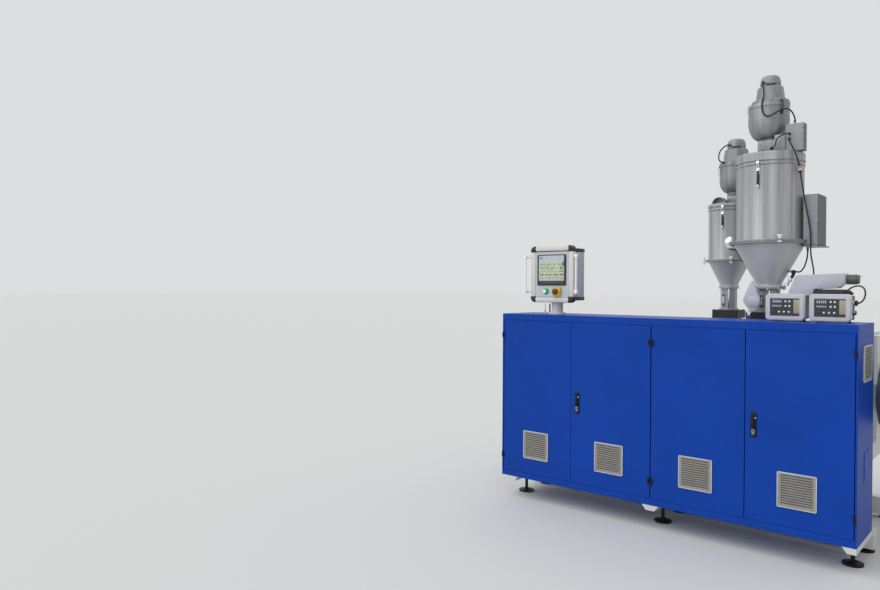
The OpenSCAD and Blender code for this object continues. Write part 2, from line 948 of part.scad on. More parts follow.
// Stepped head that tapers to a slotted cap
module loader_head() {
  r = loader_r;
  difference() {
    rotate_extrude($fn = 96)
      polygon([[0, 0], [r + 7, 0], [r + 7, 10], [r + 1, 12], [r + 1, 22], [r - 5, 28], [r - 24, 32],
               [r - 27, 36], [r - 38, 122], [r - 44, 128], [66, 131], [66, 146], [70, 150],
               [68, 176], [62, 196], [52, 207], [36, 211], [0, 211]]);
    for (a = [0 : 90 : 270])
      rotate([0, 0, a - 70])
        translate([58, -28, 133])
          cube([20, 56, 11]);
  }
  rod_y([-27, -84, 156], 9, 24);
}

module loader_heads() {
  color("lightgray")
    placed() {
      translate(main_loader + [0, 0, main_base_h + bowl_h[0] + loader_h])
        loader_head();
      translate(side_loader + [0, 0, side_base_h + bowl_h[1] + loader_h]) {
        loader_head();
        rod_y([-61, -126, 17], 8, 22);
      }
    }
}

// Control box on the main lid, beside the loader
module lid_box() {
  color("lightgray")
    placed()
      translate([-main_x + 138, main_y - 98, main_lid_z + main_lid_h]) {
        cube([114, 76, 192]);
        slab([-3, -5, 3], [117, 0, 189]);
        translate([47, 33, 192])
          cylinder(r1 = 11, r2 = 5, h = 24);
        for (z = [85, 121])
          rod_y([24, -19, z], 8, 15);
      }
}

heater_z = 1973;
heater_h = 366;

// Heater box beside the main drum, on two brackets over a wider foot plate
module heater_box() {
  x0 = -main_x + main_r + 20;
  color("lightgray")
    placed() {
      translate([x0, main_y - 50, heater_z]) {
        translate([0, 0, 6])
          cube([88, 230, heater_h - 6]);
        slab([-4, -6, 12], [90, 0, heater_h - 4]);
        slab([-6, -10, 0], [108, 240, 6]);
        translate([12, 50, -18])
          cylinder(r = 9, h = 19);
      }
      difference() {
        for (z = [heater_z + 90, heater_z + 290])
          slab([-main_x + main_r - 30, main_y - 20, z], [x0, main_y + 20, z + 8]);
        translate([-main_x, main_y, main_drum_z])
          cylinder(r = main_r + seat, h = main_drum_h);
      }
    }
}

// Black cast feed housing whose top carries the hopper's throat
module feed_housings() {
  top_half = [125, 100];
  top_h = 65;
  color("gray")
    placed()
      for (k = [0, 1])
        translate([feed_x[k], barrel_y[k], 0]) {
          x = feed_half[k];
          y = x - 10;
          slab([-x + 25, -y, axis_z - 140], [x - 25, y, axis_z + 150]);
          rod_x([-x, 0, axis_z], x + 5, 25);
          rod_x([x - 25, 0, axis_z], x + 5, 40);
          translate([0, 0, axis_z + 150])
            linear_extrude(throat_z - axis_z - 150 - top_h)
              rounded(2 * throat_r[k] + 30, 2 * throat_r[k] + 30, 12);
          translate([0, 0, throat_z - top_h])
            linear_extrude(top_h)
              rounded(2 * top_half[k], 2 * top_half[k], 10);
        }
}

// Barrel with heater bands, a die flange at its tip and its bore open there
module barrel(k) {
  l = feed_x[k] - feed_half[k] - tip_x[k];
  bands = floor((l - 220) / 170);
  difference() {
    translate([tip_x[k], barrel_y[k], axis_z])
      rotate([0, 90, 0])
        rotate_extrude()
          polygon(concat([[0, 0], [flange_r[k], 0], [flange_r[k], flange_t], [barrel_r[k], flange_t]],
                         [for (i = [0 : bands - 1], p = [[0, 0], [1, 0], [1, 150], [0, 150]])
                           [p.x * band_r[k] + (1 - p.x) * barrel_r[k], 100 + 170 * i + p.y]],
                         [[barrel_r[k], l], [0, l]]));
    rod_x([tip_x[k] - 1, barrel_y[k], axis_z], bore_r[k], 201);
    for (i = [0 : 7])
      translate([tip_x[k] - 1, barrel_y[k], axis_z])
        rotate([i * 45 + 22.5, 0, 0])
          translate([0, flange_pcd[k] / 2, 0])
            rotate([0, 90, 0])
              cylinder(r = flange_hole, h = flange_t + 2);
  }
}

module barrels() {
  color("dimgray")
    placed()
      for (k = [0, 1])
        barrel(k);
}

// Cover round a barrel with rows of louvre slots on both sides
module barrel_cover(k) {
  g = guard[k];
  x0 = guard_x0[k];
  x1 = guard_x1[k];
  groups = floor((x1 - x0 - 100) / 270);
  difference() {
    translate([x0, barrel_y[k], axis_z])
      rotate([90, 0, 90])
        linear_extrude(x1 - x0)
          rounded(2 * g, 2 * g, 12);
    rod_x([x0 - 1, barrel_y[k], axis_z], band_r[k] + 1, x1 - x0 + 2);
    for (s = [-1, 1], i = [0 : groups - 1], j = [0 : 7])
      translate([x0 + 100 + 270 * i + 22 * j, barrel_y[k] + s * g, axis_z - 30])
        cube([8, 8, 90], center = true);
  }
}

module barrel_covers() {
  color("white")
    placed()
      for (k = [0, 1])
        barrel_cover(k);
}

// Fan with a snail-shell case, its outlet up against the cover's underside
module blower(r, up) {
  rotate([90, 0, 0]) {
    linear_extrude(90, center = true) {
      circle(r = r);
      translate([r - 62, 0])
        square([62, up]);
    }
    translate([0, 0, 45])
      cylinder(r = r * 0.62, h = 12);
    translate([0, 0, -135])
      cylinder(r = r * 0.55, h = 90);
  }
  slab([-r * 0.7, -40, -r - 20], [r * 0.7, 40, -r * 0.6]);
}

module blowers() {
  r = 95;
  color("dimgray")
    placed()
      for (k = [0, 1], i = [0 : 2]) {
        z = deck_z + r + 20;
        step = (guard_x1[k] - guard_x0[k] - 520) / 2;
        translate([guard_x0[k] + 250 + step * i, barrel_y[k], z])
          blower(r, axis_z - guard[k] - z);
      }
}

// Gearbox with a foot, a split flange, side ribs, a top cover and bearing caps
module gearbox(k) {
  w = gearbox_w[k];
  z1 = axis_z + gearbox_up[k];
  zs = axis_z - motor_drop[k] / 2;
  x0 = gearbox_x0[k];
  x1 = gearbox_x1[k];
  l = x1 - x0;
  translate([x0, barrel_y[k], 0]) {
    slab([20, -w + 14, deck_z], [l, w - 14, z1 - 16]);
    slab([8, -w, deck_z], [l, w, deck_z + 26]);
    slab([8, -w, zs - 16], [l, w, zs + 16]);
    slab([50, -w + 40, z1 - 16], [l - 40, w - 40, z1]);
    for (i = [0 : 3])
      slab([60 + i * (l - 120) / 3 - 9, -w + 4, deck_z + 26], [60 + i * (l - 120) / 3 + 9, w - 4, z1 - 60]);
    rod_x([0, 0, axis_z], w * 0.6, 20);
  }
}

module gearboxes() {
  color("gainsboro")
    placed()
      for (k = [0, 1])
        gearbox(k);
}

// Finned motor that hangs from the gearbox by its flange
module motor(k) {
  r = motor_r[k];
  l = motor_x1[k] - gearbox_x1[k];
  rotate([90, 0, 90]) {
    cylinder(r = r + 8, h = 24);
    translate([0, 0, 24])
      cylinder(r1 = r * 0.78, r2 = r * 0.9, h = 30);
    translate([0, 0, 54])
      linear_extrude(l - 204)
        union() {
          circle(r = r * 0.88);
          for (a = [0 : 9 : 351])
            rotate(a)
              translate([r * 0.8, -2])
                square([r * 0.2, 4]);
        }
    translate([0, 0, l - 150])
      cylinder(r = r * 0.94, h = 30);
    translate([0, 0, l - 120])
      cylinder(r = r * 0.99, h = 100);
    translate([0, 0, l - 20])
      cylinder(r1 = r * 0.99, r2 = r * 0.8, h = 20);
    translate([-r * 0.4, r * 0.8, l * 0.3])
      cube([r * 0.8, r * 0.6, r * 1.1]);
  }
}

module motors() {
  color("dimgray")
    placed()
      for (k = [0, 1])
        translate([gearbox_x1[k], barrel_y[k], axis_z - motor_drop[k]])
          motor(k);
}

// Cable routes, in the cabinet's measures
cap_route = [[-772, 766, 3172], [-771, 752, 3171], [-766, 740, 3150], [-759, 736, 3110],
  [-756, 731, 3065], [-758, 711, 3030], [-761, 704, 2995], [-757, 703, 2955], [-745, 704, 2925],
  [-722, 704, 2909], [-695, 704, 2912], [-662, 705, 2927], [-627, 708, 2942], [-598, 718, 2945],
  [-576, 738, 2932], [-564, 766, 2905], [-560, 783, 2882], [-560, 785, 2864]];
sensor_route = [[-704, 738, 2682], [-704, 726, 2682], [-696, 712, 2681], [-678, 705, 2684],
  [-666, 704, 2697], [-664, 705, 2714], [-660, 706, 2731], [-646, 707, 2747], [-624, 708, 2759],
  [-602, 708, 2767], [-588, 712, 2769], [-583, 722, 2769], [-583, 733, 2769]];
drop_route = [[-583, 733, 2733], [-583, 718, 2732], [-576, 706, 2716], [-558, 700, 2680],
  [-541, 702, 2643], [-528, 712, 2600], [-519, 726, 2560], [-515, 742, 2520], [-510, 752, 2470],
  [-504, 758, 2420], [-497, 763, 2367], [-488, 768, 2310], [-481, 771, 2265], [-474, 773, 2225],
  [-467, 775, 2184], [-459, 778, 2130], [-453, 780, 2085], [-450, 780, 2030], [-449, 781, 1976],
  [-451, 794, 1925], [-456, 850, 1867], [-460, 902, 1822], [-462, 927, 1775], [-453, 933, 1730],
  [-430, 935, 1690], [-405, 935, 1656], [-384, 929, 1631], [-371, 917, 1620], [-370, 902, 1620]];
heater_route = [[-485, 850, 1955], [-485, 850, 1938], [-487, 847, 1900], [-494, 842, 1862],
  [-506, 838, 1826], [-522, 838, 1803], [-540, 842, 1794], [-558, 848, 1797], [-571, 850, 1800],
  [-585, 850, 1800]];
controller_route = [[-69, 295, 1587], [-54, 295, 1588], [-36, 300, 1604], [-28, 318, 1632],
  [-36, 360, 1662], [-60, 430, 1684], [-100, 520, 1694], [-150, 610, 1688], [-196, 676, 1666],
  [-238, 714, 1640], [-275, 724, 1621], [-301, 739, 1611], [-313, 761, 1608], [-314, 780, 1608]];
panel_route = [for (p = [[-55, 65, 1546], [-55.5, 65.8, 1536], [-60, 72, 1516], [-66, 83, 1495],
  [-66.9, 85.7, 1483], [-67, 86, 1477]]) p + [panel_x, panel_y, 0]];
lead_route = [for (p = [[-93, 60, 1546], [-93, 60, 1536], [-96, 61, 1515], [-97, 62, 1496]])
  p + [panel_x, panel_y, 0]];
loader_route = [[-1130, 1116, 2815], [-1131, 1100, 2815], [-1142, 1080, 2808], [-1160, 1066, 2792],
  [-1178, 1056, 2768], [-1188, 1050, 2738], [-1188, 1045, 2710], [-1180, 1041, 2688],
  [-1169, 1046, 2677], [-1164, 1058, 2676], [-1164, 1074, 2676]];

function curve(a, b, c, d, t) =
  0.5 * (2 * b + (c - a) * t + (2 * a - 5 * b + 4 * c - d) * t * t + (3 * b - a - 3 * c + d) * t * t * t);
function smooth(p, n) = concat(
  [for (i = [0 : len(p) - 2], j = [0 : n - 1])
    curve(p[max(i - 1, 0)], p[i], p[i + 1], p[min(i + 2, len(p) - 1)], j / n)],
  [p[len(p) - 1]]);
function unit(v) = v / norm(v);
function heading(p, i) = unit(p[min(i + 1, len(p) - 1)] - p[max(i - 1, 0)]);
function sides(p, i, last) =
  i == len(p) ? [] :
  let (t = heading(p, i), n = unit(cross(cross(t, last), t)))
    concat([n], sides(p, i + 1, n));

// Tube swept along a route, with flat ends
module cable(route, r, n = 2, edges = 8) {
  p = smooth(route, n);
  side = sides(p, 0, [0.31, 0.17, 0.93]);
  rings = len(p);
  points = [for (i = [0 : rings - 1], k = [0 : edges - 1])
    let (a = 360 * k / edges, t = heading(p, i))
      p[i] + r * (cos(a) * side[i] + sin(a) * cross(t, side[i]))];
  walls = [for (i = [0 : rings - 2], k = [0 : edges - 1])
    let (a = i * edges + k, b = i * edges + (k + 1) % edges)
      [a, a + edges, b + edges, b]];
  ends = [[for (k = [0 : edges - 1]) k], [for (k = [edges - 1 : -1 : 0]) (rings - 1) * edges + k]];
  color("black")
    placed()
      polyhedron(points, concat(walls, ends));
}

module cap_cable() { cable(cap_route, 4); }
module sensor_cable() { cable(sensor_route, 3.5); }
module drop_cable() { cable(drop_route, 4); }
module heater_cable() { cable(heater_route, 4); }
module controller_cable() { cable(controller_route, 4); }
module panel_cable() { cable(panel_route, 5.5); }
module panel_lead() { cable(lead_route, 2.5); }
module loader_cable() { cable(loader_route, 4); }

base_rails();
cross_beams();
deck_legs();
machine_deck();
barrel_supports();
levelling_feet();
cabinet_floor();
cabinet_back();
cabinet_ends();
cabinet_lid();
front_rails();
front_posts();
mounting_plates();
end_vent();
hinge_brackets();
door_1();
door_2();
door_3();
door_4();
vent_1();
vent_2();
vent_3();
vent_4();
lock_2();
lock_4();
panel_post();
panel_housing();
panel_handles();
panel_corners();
panel_screen();
panel_buttons();
controller_frames();
controller_boxes();
doser_covers();
doser_drives();
hopper_throats();
hopper_cones();
hopper_drums();
hopper_lids();
loader_bases();
loader_bodies();
loader_heads();
lid_box();
heater_box();
feed_housings();
barrels();
barrel_covers();
blowers();
gearboxes();
motors();
cap_cable();
sensor_cable();
drop_cable();
heater_cable();
controller_cable();
panel_cable();
panel_lead();
loader_cable();
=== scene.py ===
import math

import bmesh
import bpy
from mathutils import Matrix, Vector


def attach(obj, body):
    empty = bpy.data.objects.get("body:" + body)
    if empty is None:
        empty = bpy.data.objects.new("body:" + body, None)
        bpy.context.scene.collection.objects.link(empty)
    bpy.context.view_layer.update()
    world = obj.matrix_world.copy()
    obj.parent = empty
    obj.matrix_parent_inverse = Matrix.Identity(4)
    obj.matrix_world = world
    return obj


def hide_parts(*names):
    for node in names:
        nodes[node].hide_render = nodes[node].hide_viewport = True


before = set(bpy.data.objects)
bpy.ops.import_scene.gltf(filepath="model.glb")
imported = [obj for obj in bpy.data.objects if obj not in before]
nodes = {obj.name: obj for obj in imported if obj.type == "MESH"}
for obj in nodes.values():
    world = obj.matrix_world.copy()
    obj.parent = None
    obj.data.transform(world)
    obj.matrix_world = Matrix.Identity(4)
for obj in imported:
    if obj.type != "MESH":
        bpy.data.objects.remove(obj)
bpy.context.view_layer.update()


# Upright axes of the two hoppers, of the main loader's bowl and of the side loader
MAIN = (-745, 850)
MAIN_BOWL = (-755, 850)
SIDE = (-1153, 1200)
SIDE_LOADER = (-1103, 1200)
# Heights of a throat's underside and top
THROAT_FOOT = 1503
THROAT_TOP = 1686
# Height of the two barrels' axes
BARREL_Z = 1170
# Middle of the operator panel
PANEL_X = -2136
# Each door's number and hinge axis, and which of its sides the axis is on
DOOR_HINGES = ((1, -2520, -1), (2, -1275, 1), (3, -1255, -1), (4, -10, 1))
# Middles of the doors' filter grilles, and the low and high corners of a grille's edge bars from its middle;
# the light edge bars are painted highlights on the grilles' rims
GRILLE_X = (-2207.2, -1581.8, -948.2, -322.8)
GRILLE_Z = 439
HIGHLIGHT_EDGE_BARS = (((-112.6, -108.5), (-107, 108.5)), ((107, -108.5), (112.6, 108.5)),
             ((-112.6, -108.6), (112.6, -103)), ((-112.6, 103), (112.6, 108.6)))
# Middles of the two dosing controllers
CONTROLLER_X = (-457, -197)
# Where the photograph was taken from, its turns in degrees and its lens on a 36 mm wide frame
CAMERA_PLACE = (891, -4704, 1671)
CAMERA_YAW, CAMERA_PITCH, CAMERA_ROLL = 41.06, 0.59, 0.26
CAMERA_LENS = 29.306


# Places are given in millimetres from the floor under the cabinet's front right corner
def at(x, y, z):
    return Vector(((x + 1000) / 1000, (y - 722) / 1000, z / 1000))


# Camera at the photograph's viewing angle

def set_camera():
    yaw, pitch, roll = math.radians(CAMERA_YAW), math.radians(CAMERA_PITCH), math.radians(CAMERA_ROLL)
    forward = Vector((-math.sin(yaw) * math.cos(pitch), math.cos(yaw) * math.cos(pitch), -math.sin(pitch)))
    right = Vector((math.cos(yaw), math.sin(yaw), 0))
    up = right.cross(forward)
    right, up = right * math.cos(roll) + up * math.sin(roll), up * math.cos(roll) - right * math.sin(roll)
    data = bpy.data.cameras.new("camera")
    data.lens = CAMERA_LENS
    data.sensor_width = 36
    data.clip_end = 200
    camera = bpy.data.objects.new("camera", data)
    bpy.context.scene.collection.objects.link(camera)
    turn = Matrix((right, up, -forward)).transposed().to_4x4()
    camera.matrix_world = Matrix.Translation(at(*CAMERA_PLACE)) @ turn
    bpy.context.scene.camera = camera


set_camera()


# Materials

def linear(code):
    parts = [int(code[i:i + 2], 16) / 255 for i in (0, 2, 4)]
    return [c / 12.92 if c <= 0.04045 else ((c + 0.055) / 1.055) ** 2.4 for c in parts] + [1]


def add(tree, kind, links=None, values=None, **settings):
    node = tree.nodes.new(kind)
    for key, value in settings.items():
        setattr(node, key, value)
    for key, value in (values or {}).items():
        node.inputs[key].default_value = value
    for key, (source, output) in (links or {}).items():
        tree.links.new(source.outputs[output], node.inputs[key])
    return node


# A finish varies a little in colour and gloss over its surface and has a fine grain. The sizes of the
# broad patches and of the grain, and the grain's depth, are in metres.
def finish_of(name, light, dark, rough, grain, depth, metal=0.0, patch=0.15, stretch=(1, 1, 1), gloss=0.05,
              reflect=0.5, split=None):
    material = bpy.data.materials.new(name)
    material.use_nodes = True
    tree = material.node_tree
    shader = tree.nodes["Principled BSDF"]
    shader.inputs["Metallic"].default_value = metal
    shader.inputs["Specular IOR Level"].default_value = reflect
    place = add(tree, "ShaderNodeTexCoord")
    spread = add(tree, "ShaderNodeMapping", {"Vector": (place, "Object")}, {"Scale": stretch})
    broad = add(tree, "ShaderNodeTexNoise", {"Vector": (spread, "Vector")},
                {"Scale": 1 / patch, "Detail": 4, "Roughness": 0.6})
    fine = add(tree, "ShaderNodeTexNoise", {"Vector": (spread, "Vector")}, {"Scale": 1 / grain, "Detail": 3})
    ramp = add(tree, "ShaderNodeValToRGB", {"Fac": (broad, "Fac")})
    ramp.color_ramp.elements[0].position = 0.3
    ramp.color_ramp.elements[0].color = linear(dark)
    ramp.color_ramp.elements[1].position = 0.7
    ramp.color_ramp.elements[1].color = linear(light)
    colour = (ramp, "Color")
    # A second, darker colour past a plane: painted shade on the side of a box that lies in shade
    if split:
        axis, limit, over = split
        parts = add(tree, "ShaderNodeSeparateXYZ", {"Vector": (place, "Object")})
        past = add(tree, "ShaderNodeMath", {0: (parts, axis)}, {1: limit}, operation="GREATER_THAN")
        both = add(tree, "ShaderNodeMix", {0: (past, "Value"), 6: colour}, {7: linear(over)},
                   data_type="RGBA")
        colour = (both, 2)
    tree.links.new(colour[0].outputs[colour[1]], shader.inputs["Base Color"])
    shine = add(tree, "ShaderNodeMapRange", {"Value": (fine, "Fac")},
                {"From Min": 0.3, "From Max": 0.7, "To Min": rough - gloss, "To Max": rough + gloss})
    tree.links.new(shine.outputs["Result"], shader.inputs["Roughness"])
    bump = add(tree, "ShaderNodeBump", {"Height": (fine, "Fac")}, {"Strength": 0.35, "Distance": depth})
    tree.links.new(bump.outputs["Normal"], shader.inputs["Normal"])
    return material


# Royal blue powder coat, baked on sheet steel: even satin colour with a fine orange-peel skin
blue_coat = finish_of("blue_powder_coat", "0440A4", "033B98", 0.45, 0.004, 0.0002, patch=0.5, reflect=0.16)
# White powder coat on welded tube and sheet: soft satin with faint dust clouds
white_coat = finish_of("white_powder_coat", "D4D6D4", "C6C8C5", 0.42, 0.004, 0.0002, patch=0.3)
# Light grey powder coat of the operator panel's sheet box: cool, satin and even
grey_coat = finish_of("grey_powder_coat", "C3C8CF", "B9BEC5", 0.45, 0.003, 0.0001, patch=0.2)
# The same coat, a little bluer, on the dosers' sheet covers
doser_coat = finish_of("grey_coat_doser", "C3C8D2", "B9BEC8", 0.45, 0.003, 0.0001, patch=0.2)
# The same coat on the two boxes beside the hopper, with painted shade: each box's right side is given a
# darker colour because it lies in shade
lid_box_coat_with_painted_shade = finish_of("grey_coat_lid_box_with_painted_shade", "989A9D", "8E9093", 0.45, 0.003, 0.0001, patch=0.2,
                         split=("X", 0.5065, "4A4C4E"))
heater_box_coat_with_painted_shade = finish_of("grey_coat_heater_box_with_painted_shade", "8F9297", "86898E", 0.45, 0.003, 0.0001, patch=0.2,
                            split=("X", 0.5900, "3B3D3E"))
# Pale satin coat of the operator panel's profiles and post: nearly white, even, with soft highlights
pale_coat = finish_of("pale_satin_coat", "D6D5D1", "CCCBC7", 0.38, 0.003, 0.0001, patch=0.2)
# Dark grey paint of blowers and controller boxes, and painted shade on the cone's small arm: satin with
# slight tone changes
dark_paint = finish_of("dark_machine_paint", "3A3D40", "2B2D30", 0.45, 0.006, 0.0004, patch=0.06)
# Grey paint of the dosers' motor and gear case: dull, darker where dust clings
grey_iron = finish_of("grey_machine_paint", "63635F", "50504D", 0.5, 0.006, 0.0004, patch=0.06)
# Blue grey paint of the drive motors: satin over ribbed iron
motor_paint = finish_of("motor_paint", "3D4A5A", "323D4B", 0.42, 0.006, 0.0004, patch=0.08)
# Black powder coat of hinges, locks, feet and lifting grips: fine matte grit
black_coat = finish_of("black_powder_coat", "131416", "0C0D0E", 0.5, 0.002, 0.0002, patch=0.02, reflect=0.25)
# Blackened cast iron: rough sand-cast skin, nearly black
black_iron = finish_of("blackened_cast_iron", "232425", "161717", 0.6, 0.005, 0.0008, patch=0.05)
# Black rubber of the cable sheaths and the door seal: dull, with a soft sheen
rubber = finish_of("black_rubber", "101011", "0A0A0B", 0.6, 0.003, 0.0002, patch=0.02)
# Black moulded plastic: fine spark-eroded texture
black_plastic = finish_of("black_moulded_plastic", "1B1C1E", "131415", 0.42, 0.002, 0.0001, patch=0.05)
# Beige grey moulded plastic of the filter grilles: matte
grille_plastic = finish_of("beige_moulded_plastic", "95938C", "878580", 0.55, 0.002, 0.0001, patch=0.05)
# Grey fleece of the filter mats behind the grilles: soft and dull
filter_fleece = finish_of("grey_filter_fleece", "6F6E69", "615F5B", 0.9, 0.003, 0.0006, patch=0.02,
                          reflect=0.2)
# White moulded plastic of the controllers' bezels: soft gloss
white_plastic = finish_of("white_moulded_plastic", "C9CBD0", "BFC1C6", 0.35, 0.002, 0.0001, patch=0.05)
# Zinc plated sheet: bright grey with faint spangles
zinc = finish_of("zinc_plated_steel", "B9BBBC", "9FA2A4", 0.35, 0.006, 0.0001, metal=1.0, patch=0.02)
# Satin anodised aluminium of the panel's small parts: fine drawing lines, cool white grey
aluminium = finish_of("satin_anodised_aluminium", "D2D4D6", "C4C6C9", 0.32, 0.001, 0.00005, metal=1.0,
                      patch=0.05, stretch=(1, 1, 0.05))
# Matt stainless sheet, rolled round, with a fine upright brushed grain: dull, and its colour has soft upright
# bands of lighter and darker grey that are painted reflections
steel = finish_of("matt_stainless_steel_with_painted_reflection_bands", "B8B9BB", "7F8185", 0.5, 0.0015, 0.00006, metal=0.55,
                  patch=0.05, stretch=(1, 1, 0.02), gloss=0.06)
# The cones' sheet, ground to an even dull white grey
cone_steel = finish_of("ground_stainless_steel", "BFC0C4", "B4B6B9", 0.5, 0.0015, 0.00006, metal=0.55,
                       patch=0.3, gloss=0.04)
# The same sheet on the loaders, greyer from dust and finer brushing
loader_steel = finish_of("dusty_stainless_steel", "9C9D9E", "7C7E80", 0.5, 0.0015, 0.00006, metal=0.55,
                         patch=0.04, stretch=(1, 1, 0.05), gloss=0.06)
# Bare machined steel of barrels and flanges: darker, with turning marks
machined = finish_of("machined_steel", "8A8B8B", "727271", 0.35, 0.001, 0.00006, metal=1.0, patch=0.05,
                     stretch=(1, 0.05, 0.05))
# Cream cable sheath: matte vinyl
cream_vinyl = finish_of("cream_vinyl", "C9C6BD", "BDBAB0", 0.5, 0.003, 0.0001, patch=0.02)

# The finish of each node that the scene doesn't replace
for material, names in (
        (white_coat, "base_rails cross_beams deck_legs machine_deck barrel_supports barrel_covers"),
        (white_coat, "gearboxes"), (dark_paint, "controller_boxes blowers"), (motor_paint, "motors"),
        (blue_coat, "cabinet_floor cabinet_back cabinet_ends cabinet_lid front_rails front_posts"),
        (blue_coat, "door_1 door_2 door_3 door_4"), (grille_plastic, "vent_1 vent_2 vent_3 vent_4 end_vent"),
        (black_coat, "levelling_feet hinge_brackets"), (black_plastic, "panel_screen"),
        (pale_coat, "panel_post"), (white_plastic, "controller_frames"), (zinc, "mounting_plates"),
        (grey_iron, "doser_drives"), (black_iron, "feed_housings"), (machined, "barrels"),
        (steel, "hopper_lids"), (loader_steel, "loader_bodies loader_heads"), (lid_box_coat_with_painted_shade, "lid_box"),
        (heater_box_coat_with_painted_shade, "heater_box")):
    for name in names.split():
        for place in nodes[name].material_slots:
            place.material = material


# Finishes of the small parts

# Bright zinc plate of latches, clamps and screws: near-mirror, slightly cloudy
bright_zinc = finish_of("bright_zinc_plate", "E3E4E5", "CDCFD1", 0.22, 0.002, 0.00003, metal=1.0, patch=0.01)
# Green moulded lens and ring of the lamp button: glossy
signal_green = finish_of("green_lamp_lens", "19B27C", "12A06D", 0.2, 0.002, 0.00003, patch=0.01)
# Dark red moulding of the mushroom head and of one key: glossy
signal_red = finish_of("red_mushroom_moulding", "701A26", "560F1A", 0.25, 0.002, 0.00003, patch=0.01)
# Orange moulded connector insert: satin
orange_plastic = finish_of("orange_moulded_plastic", "D98A6A", "C97A5A", 0.45, 0.002, 0.00005, patch=0.01)
# Smoked acrylic over the controllers' keys: dark green grey and glossy
smoked_acrylic = finish_of("smoked_acrylic", "343C3E", "2C3335", 0.15, 0.004, 0.00002, patch=0.05, gloss=0.03)
# Digit windows behind the acrylic: dim grey violet
display_window = finish_of("display_window", "4A5156", "40464B", 0.2, 0.004, 0.00002, patch=0.01, gloss=0.03)
# Cream key-strip of paper behind film: flat with faint mottling
cream_film = finish_of("cream_printed_film", "BAB49F", "A39C86", 0.5, 0.004, 0.00002, patch=0.008)
# White glossy nylon of the keys, the panel's bar handles and the sight glasses
white_key = finish_of("white_nylon_key", "F2F3F4", "E8EAEB", 0.3, 0.002, 0.00003, patch=0.01)
# Picture of the touch screen: pale tints behind film, flat and glossy
picture = [finish_of("screen_" + name, light, dark, 0.25, grain, 0.00001, patch=patch, gloss=0.03)
           for name, light, dark, grain, patch in (
               ("pale_green", "C3CDB4", "B6C3AC", 0.02, 0.06), ("pale_blue", "B9C1D2", "AFB8C9", 0.02, 0.06),
               ("ochre_marks", "A99A62", "968852", 0.01, 0.01),
               ("sage_marks", "8FA98C", "7F9A7D", 0.01, 0.01),
               ("dark_marks", "55644F", "485642", 0.01, 0.01), ("red_marks", "A8634F", "965442", 0.01, 0.01))]
# Lit middle of the lamp's lens: pale mint, glowing a little
lit_lens = finish_of("lit_lens", "C8F2E0", "B4E6D0", 0.25, 0.01, 0.00001, patch=0.02)
glow = lit_lens.node_tree.nodes["Principled BSDF"].inputs
glow["Emission Color"].default_value = linear("9FF0CF")
glow["Emission Strength"].default_value = 0.4
# Yellow moulded box of the stop button: satin gloss
yellow_plastic = finish_of("yellow_moulded_plastic", "D9BE2A", "C9AE20", 0.35, 0.002, 0.00003, patch=0.02)


# Shapes are made in millimetres on the cabinet's places, and a slot picks the finish

def dress(shape, corners, edge, slot):
    for face in {f for v in corners for f in v.link_faces}:
        face.material_index = slot
    if edge:
        sharp = [e for e in {e for v in corners for e in v.link_edges}
                 if len(e.link_faces) == 2 and e.calc_face_angle(0) > 0.6]
        bmesh.ops.bevel(shape, geom=sharp, offset=edge, offset_type="OFFSET", segments=2, profile=0.5,
                        affect="EDGES", material=-1, clamp_overlap=True)


def block(shape, low, high, edge=0.0, slot=0, place=Matrix()):
    low, high = Vector(low), Vector(high)
    where = place @ Matrix.Translation((low + high) / 2) @ Matrix.Diagonal((*(high - low), 1))
    dress(shape, bmesh.ops.create_cube(shape, size=1, matrix=where)["verts"], edge, slot)


def rod(shape, start, end, radius, tip=None, sides=20, edge=0.0, slot=0, place=Matrix()):
    start, end = Vector(start), Vector(end)
    along = end - start
    turn = along.to_track_quat("Z", "Y").to_matrix().to_4x4()
    where = place @ Matrix.Translation((start + end) / 2) @ turn
    made = bmesh.ops.create_cone(shape, cap_ends=True, segments=sides, radius1=radius,
                                 radius2=radius if tip is None else tip, depth=along.length, matrix=where)
    dress(shape, made["verts"], edge, slot)


# An outline of radius and height, turned round the place's z axis
def turned(shape, outline, sides=32, slot=0, place=Matrix()):
    before = set(shape.verts)
    corners = [shape.verts.new(place @ Vector((r, 0, h))) for r, h in outline]
    lines = [shape.edges.new(pair) for pair in zip(corners, corners[1:])]
    bmesh.ops.spin(shape, geom=corners + lines, cent=place.translation,
                   axis=place.to_3x3() @ Vector((0, 0, 1)), angle=math.tau, steps=sides, use_merge=True)
    bmesh.ops.remove_doubles(shape, verts=[v for v in shape.verts if v not in before], dist=0.001)
    made = [v for v in shape.verts if v not in before]
    faces = list({f for v in made for f in v.link_faces})
    bmesh.ops.recalc_face_normals(shape, faces=faces)
    dress(shape, made, 0, slot)


# A round wire along the points, closed at both ends
def wire(shape, points, radius, sides=8, slot=0, place=Matrix()):
    points = [Vector(p) for p in points]
    rings, corners = [], []
    for i, point in enumerate(points):
        along = points[min(i + 1, len(points) - 1)] - points[max(i - 1, 0)]
        where = place @ Matrix.Translation(point) @ along.to_track_quat("Z", "Y").to_matrix().to_4x4()
        ring = bmesh.ops.create_circle(shape, cap_ends=i in (0, len(points) - 1), segments=sides,
                                       radius=radius, matrix=where)["verts"]
        rings.append(list({e for v in ring for e in v.link_edges}))
        corners += ring
    for one, two in zip(rings, rings[1:]):
        bmesh.ops.bridge_loops(shape, edges=one + two)
    faces = list({f for v in corners for f in v.link_faces})
    bmesh.ops.recalc_face_normals(shape, faces=faces)
    dress(shape, corners, 0, slot)


# Hexagon head on a washer, standing out along the place's z axis
def bolt(shape, place, size, slot=0):
    rod(shape, (0, 0, 0), (0, 0, size * 0.2), size * 1.1, sides=16, slot=slot, place=place)
    rod(shape, (0, 0, size * 0.2), (0, 0, size * 0.85), size * 0.9, sides=6, edge=size * 0.08, slot=slot,
        place=place)


